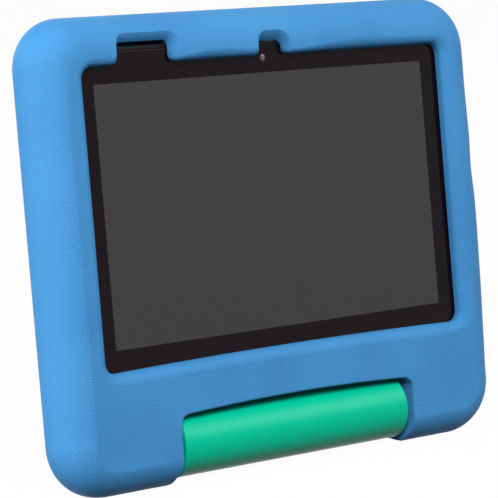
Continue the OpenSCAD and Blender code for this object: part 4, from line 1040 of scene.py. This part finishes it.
# %% Other finishes
GRAIN_HEIGHT_MM = 0.05
FINISHES = {
    # name: colour, darker colour, roughness, metallic, specular level, grain in mm, bump, and the pieces;
    # the grains are drawn coarser than real ones, so that they show
    # moulded in an eroded tool: black and dull, with a fine even texture
    "textured_abs": (
        "#121214", "#0c0c0e", 0.5, 0.0, 0.12, 0.35, 0.25,
        "rear_cover", "front_frame", "hinge_bracket_left", "hinge_bracket_right", "speaker_module",
        "headphone_jack", "front_camera", "rear_camera",
    ),
    # moulded in a finer tool: dark grey with a soft shine
    "satin_abs_keys": ("#3a3a40", "#323238", 0.36, 0.0, 0.35, 0.3, 0.12, "power_button", "volume_rocker"),
    # drawn and plated: bright grey metal with a faint grain
    "drawn_steel": (
        "#b9bcc0", "#a3a6aa", 0.32, 1.0, 0.5, 0.6, 0.06,
        "hinge_pin", "pin_clips", "friction_washers", "frame_screws", "usb_port", "shield_cans",
        "card_socket",
    ),
    # pressed from sheet: paler metal with a softer shine
    "pressed_aluminium": ("#c9cbce", "#b6b8bb", 0.38, 1.0, 0.5, 0.8, 0.06, "midplate"),
    # moulded without pigment: milky white, half matt
    "natural_nylon": (
        "#e4e2d6", "#d6d3c5", 0.45, 0.0, 0.4, 0.5, 0.1,
        "friction_bush_left", "friction_bush_right", "key_switches", "rocker_cradle",
    ),
    # lacquer cured on a circuit board: dark green, half glossy
    "solder_resist": ("#1d5c3c", "#164a30", 0.35, 0.0, 0.4, 1.5, 0.1, "main_board", "side_key_board"),
    # laminated foil round a cell: dull grey metal, slightly creased
    "cell_foil": ("#8f9296", "#7d8084", 0.42, 1.0, 0.5, 2.0, 0.15, "battery"),
    # copper etched on a film: warm brown metal, nearly smooth
    "copper_film": (
        "#c48a3c", "#a87230", 0.35, 1.0, 0.5, 1.0, 0.05,
        "battery_lead", "display_cable", "microphone", "wifi_antenna",
    ),
    # polished display glass, switched off: nearly black
    "black_display": ("#2a2a2c", "#242426", 0.25, 0.0, 0.3, 2.0, 0.02, "display_panel"),
}
for name, row in FINISHES.items():
    colour, darker, roughness, metallic, specular, grain_mm, bump_strength, *pieces = row
    material, tree = new_material(name)
    spot = (add_node(tree, "TexCoord"), "Object")
    fine = add_node(tree, "TexNoise", {"Vector": spot, "Scale": 1 / (grain_mm * MM), "Detail": 3.0})
    bump = add_node(tree, "Bump", {
        "Height": (fine, "Fac"), "Strength": bump_strength, "Distance": GRAIN_HEIGHT_MM * MM,
    })
    blotch = add_node(tree, "MixRGB", {0: (fine, "Fac"), 1: tint(colour), 2: tint(darker)})
    surface = add_node(tree, "BsdfPrincipled", {
        "Base Color": (blotch, "Color"), "Roughness": roughness, "Metallic": metallic,
        "Specular IOR Level": specular, "Normal": (bump, "Normal"),
    })
    add_node(tree, "OutputMaterial", {"Surface": (surface, "BSDF")})
    dress(material, *pieces)
    print(name, "on", len(pieces), "pieces")

# %% [markdown]
# ## Finish

# %% Finish
bpy.context.view_layer.update()
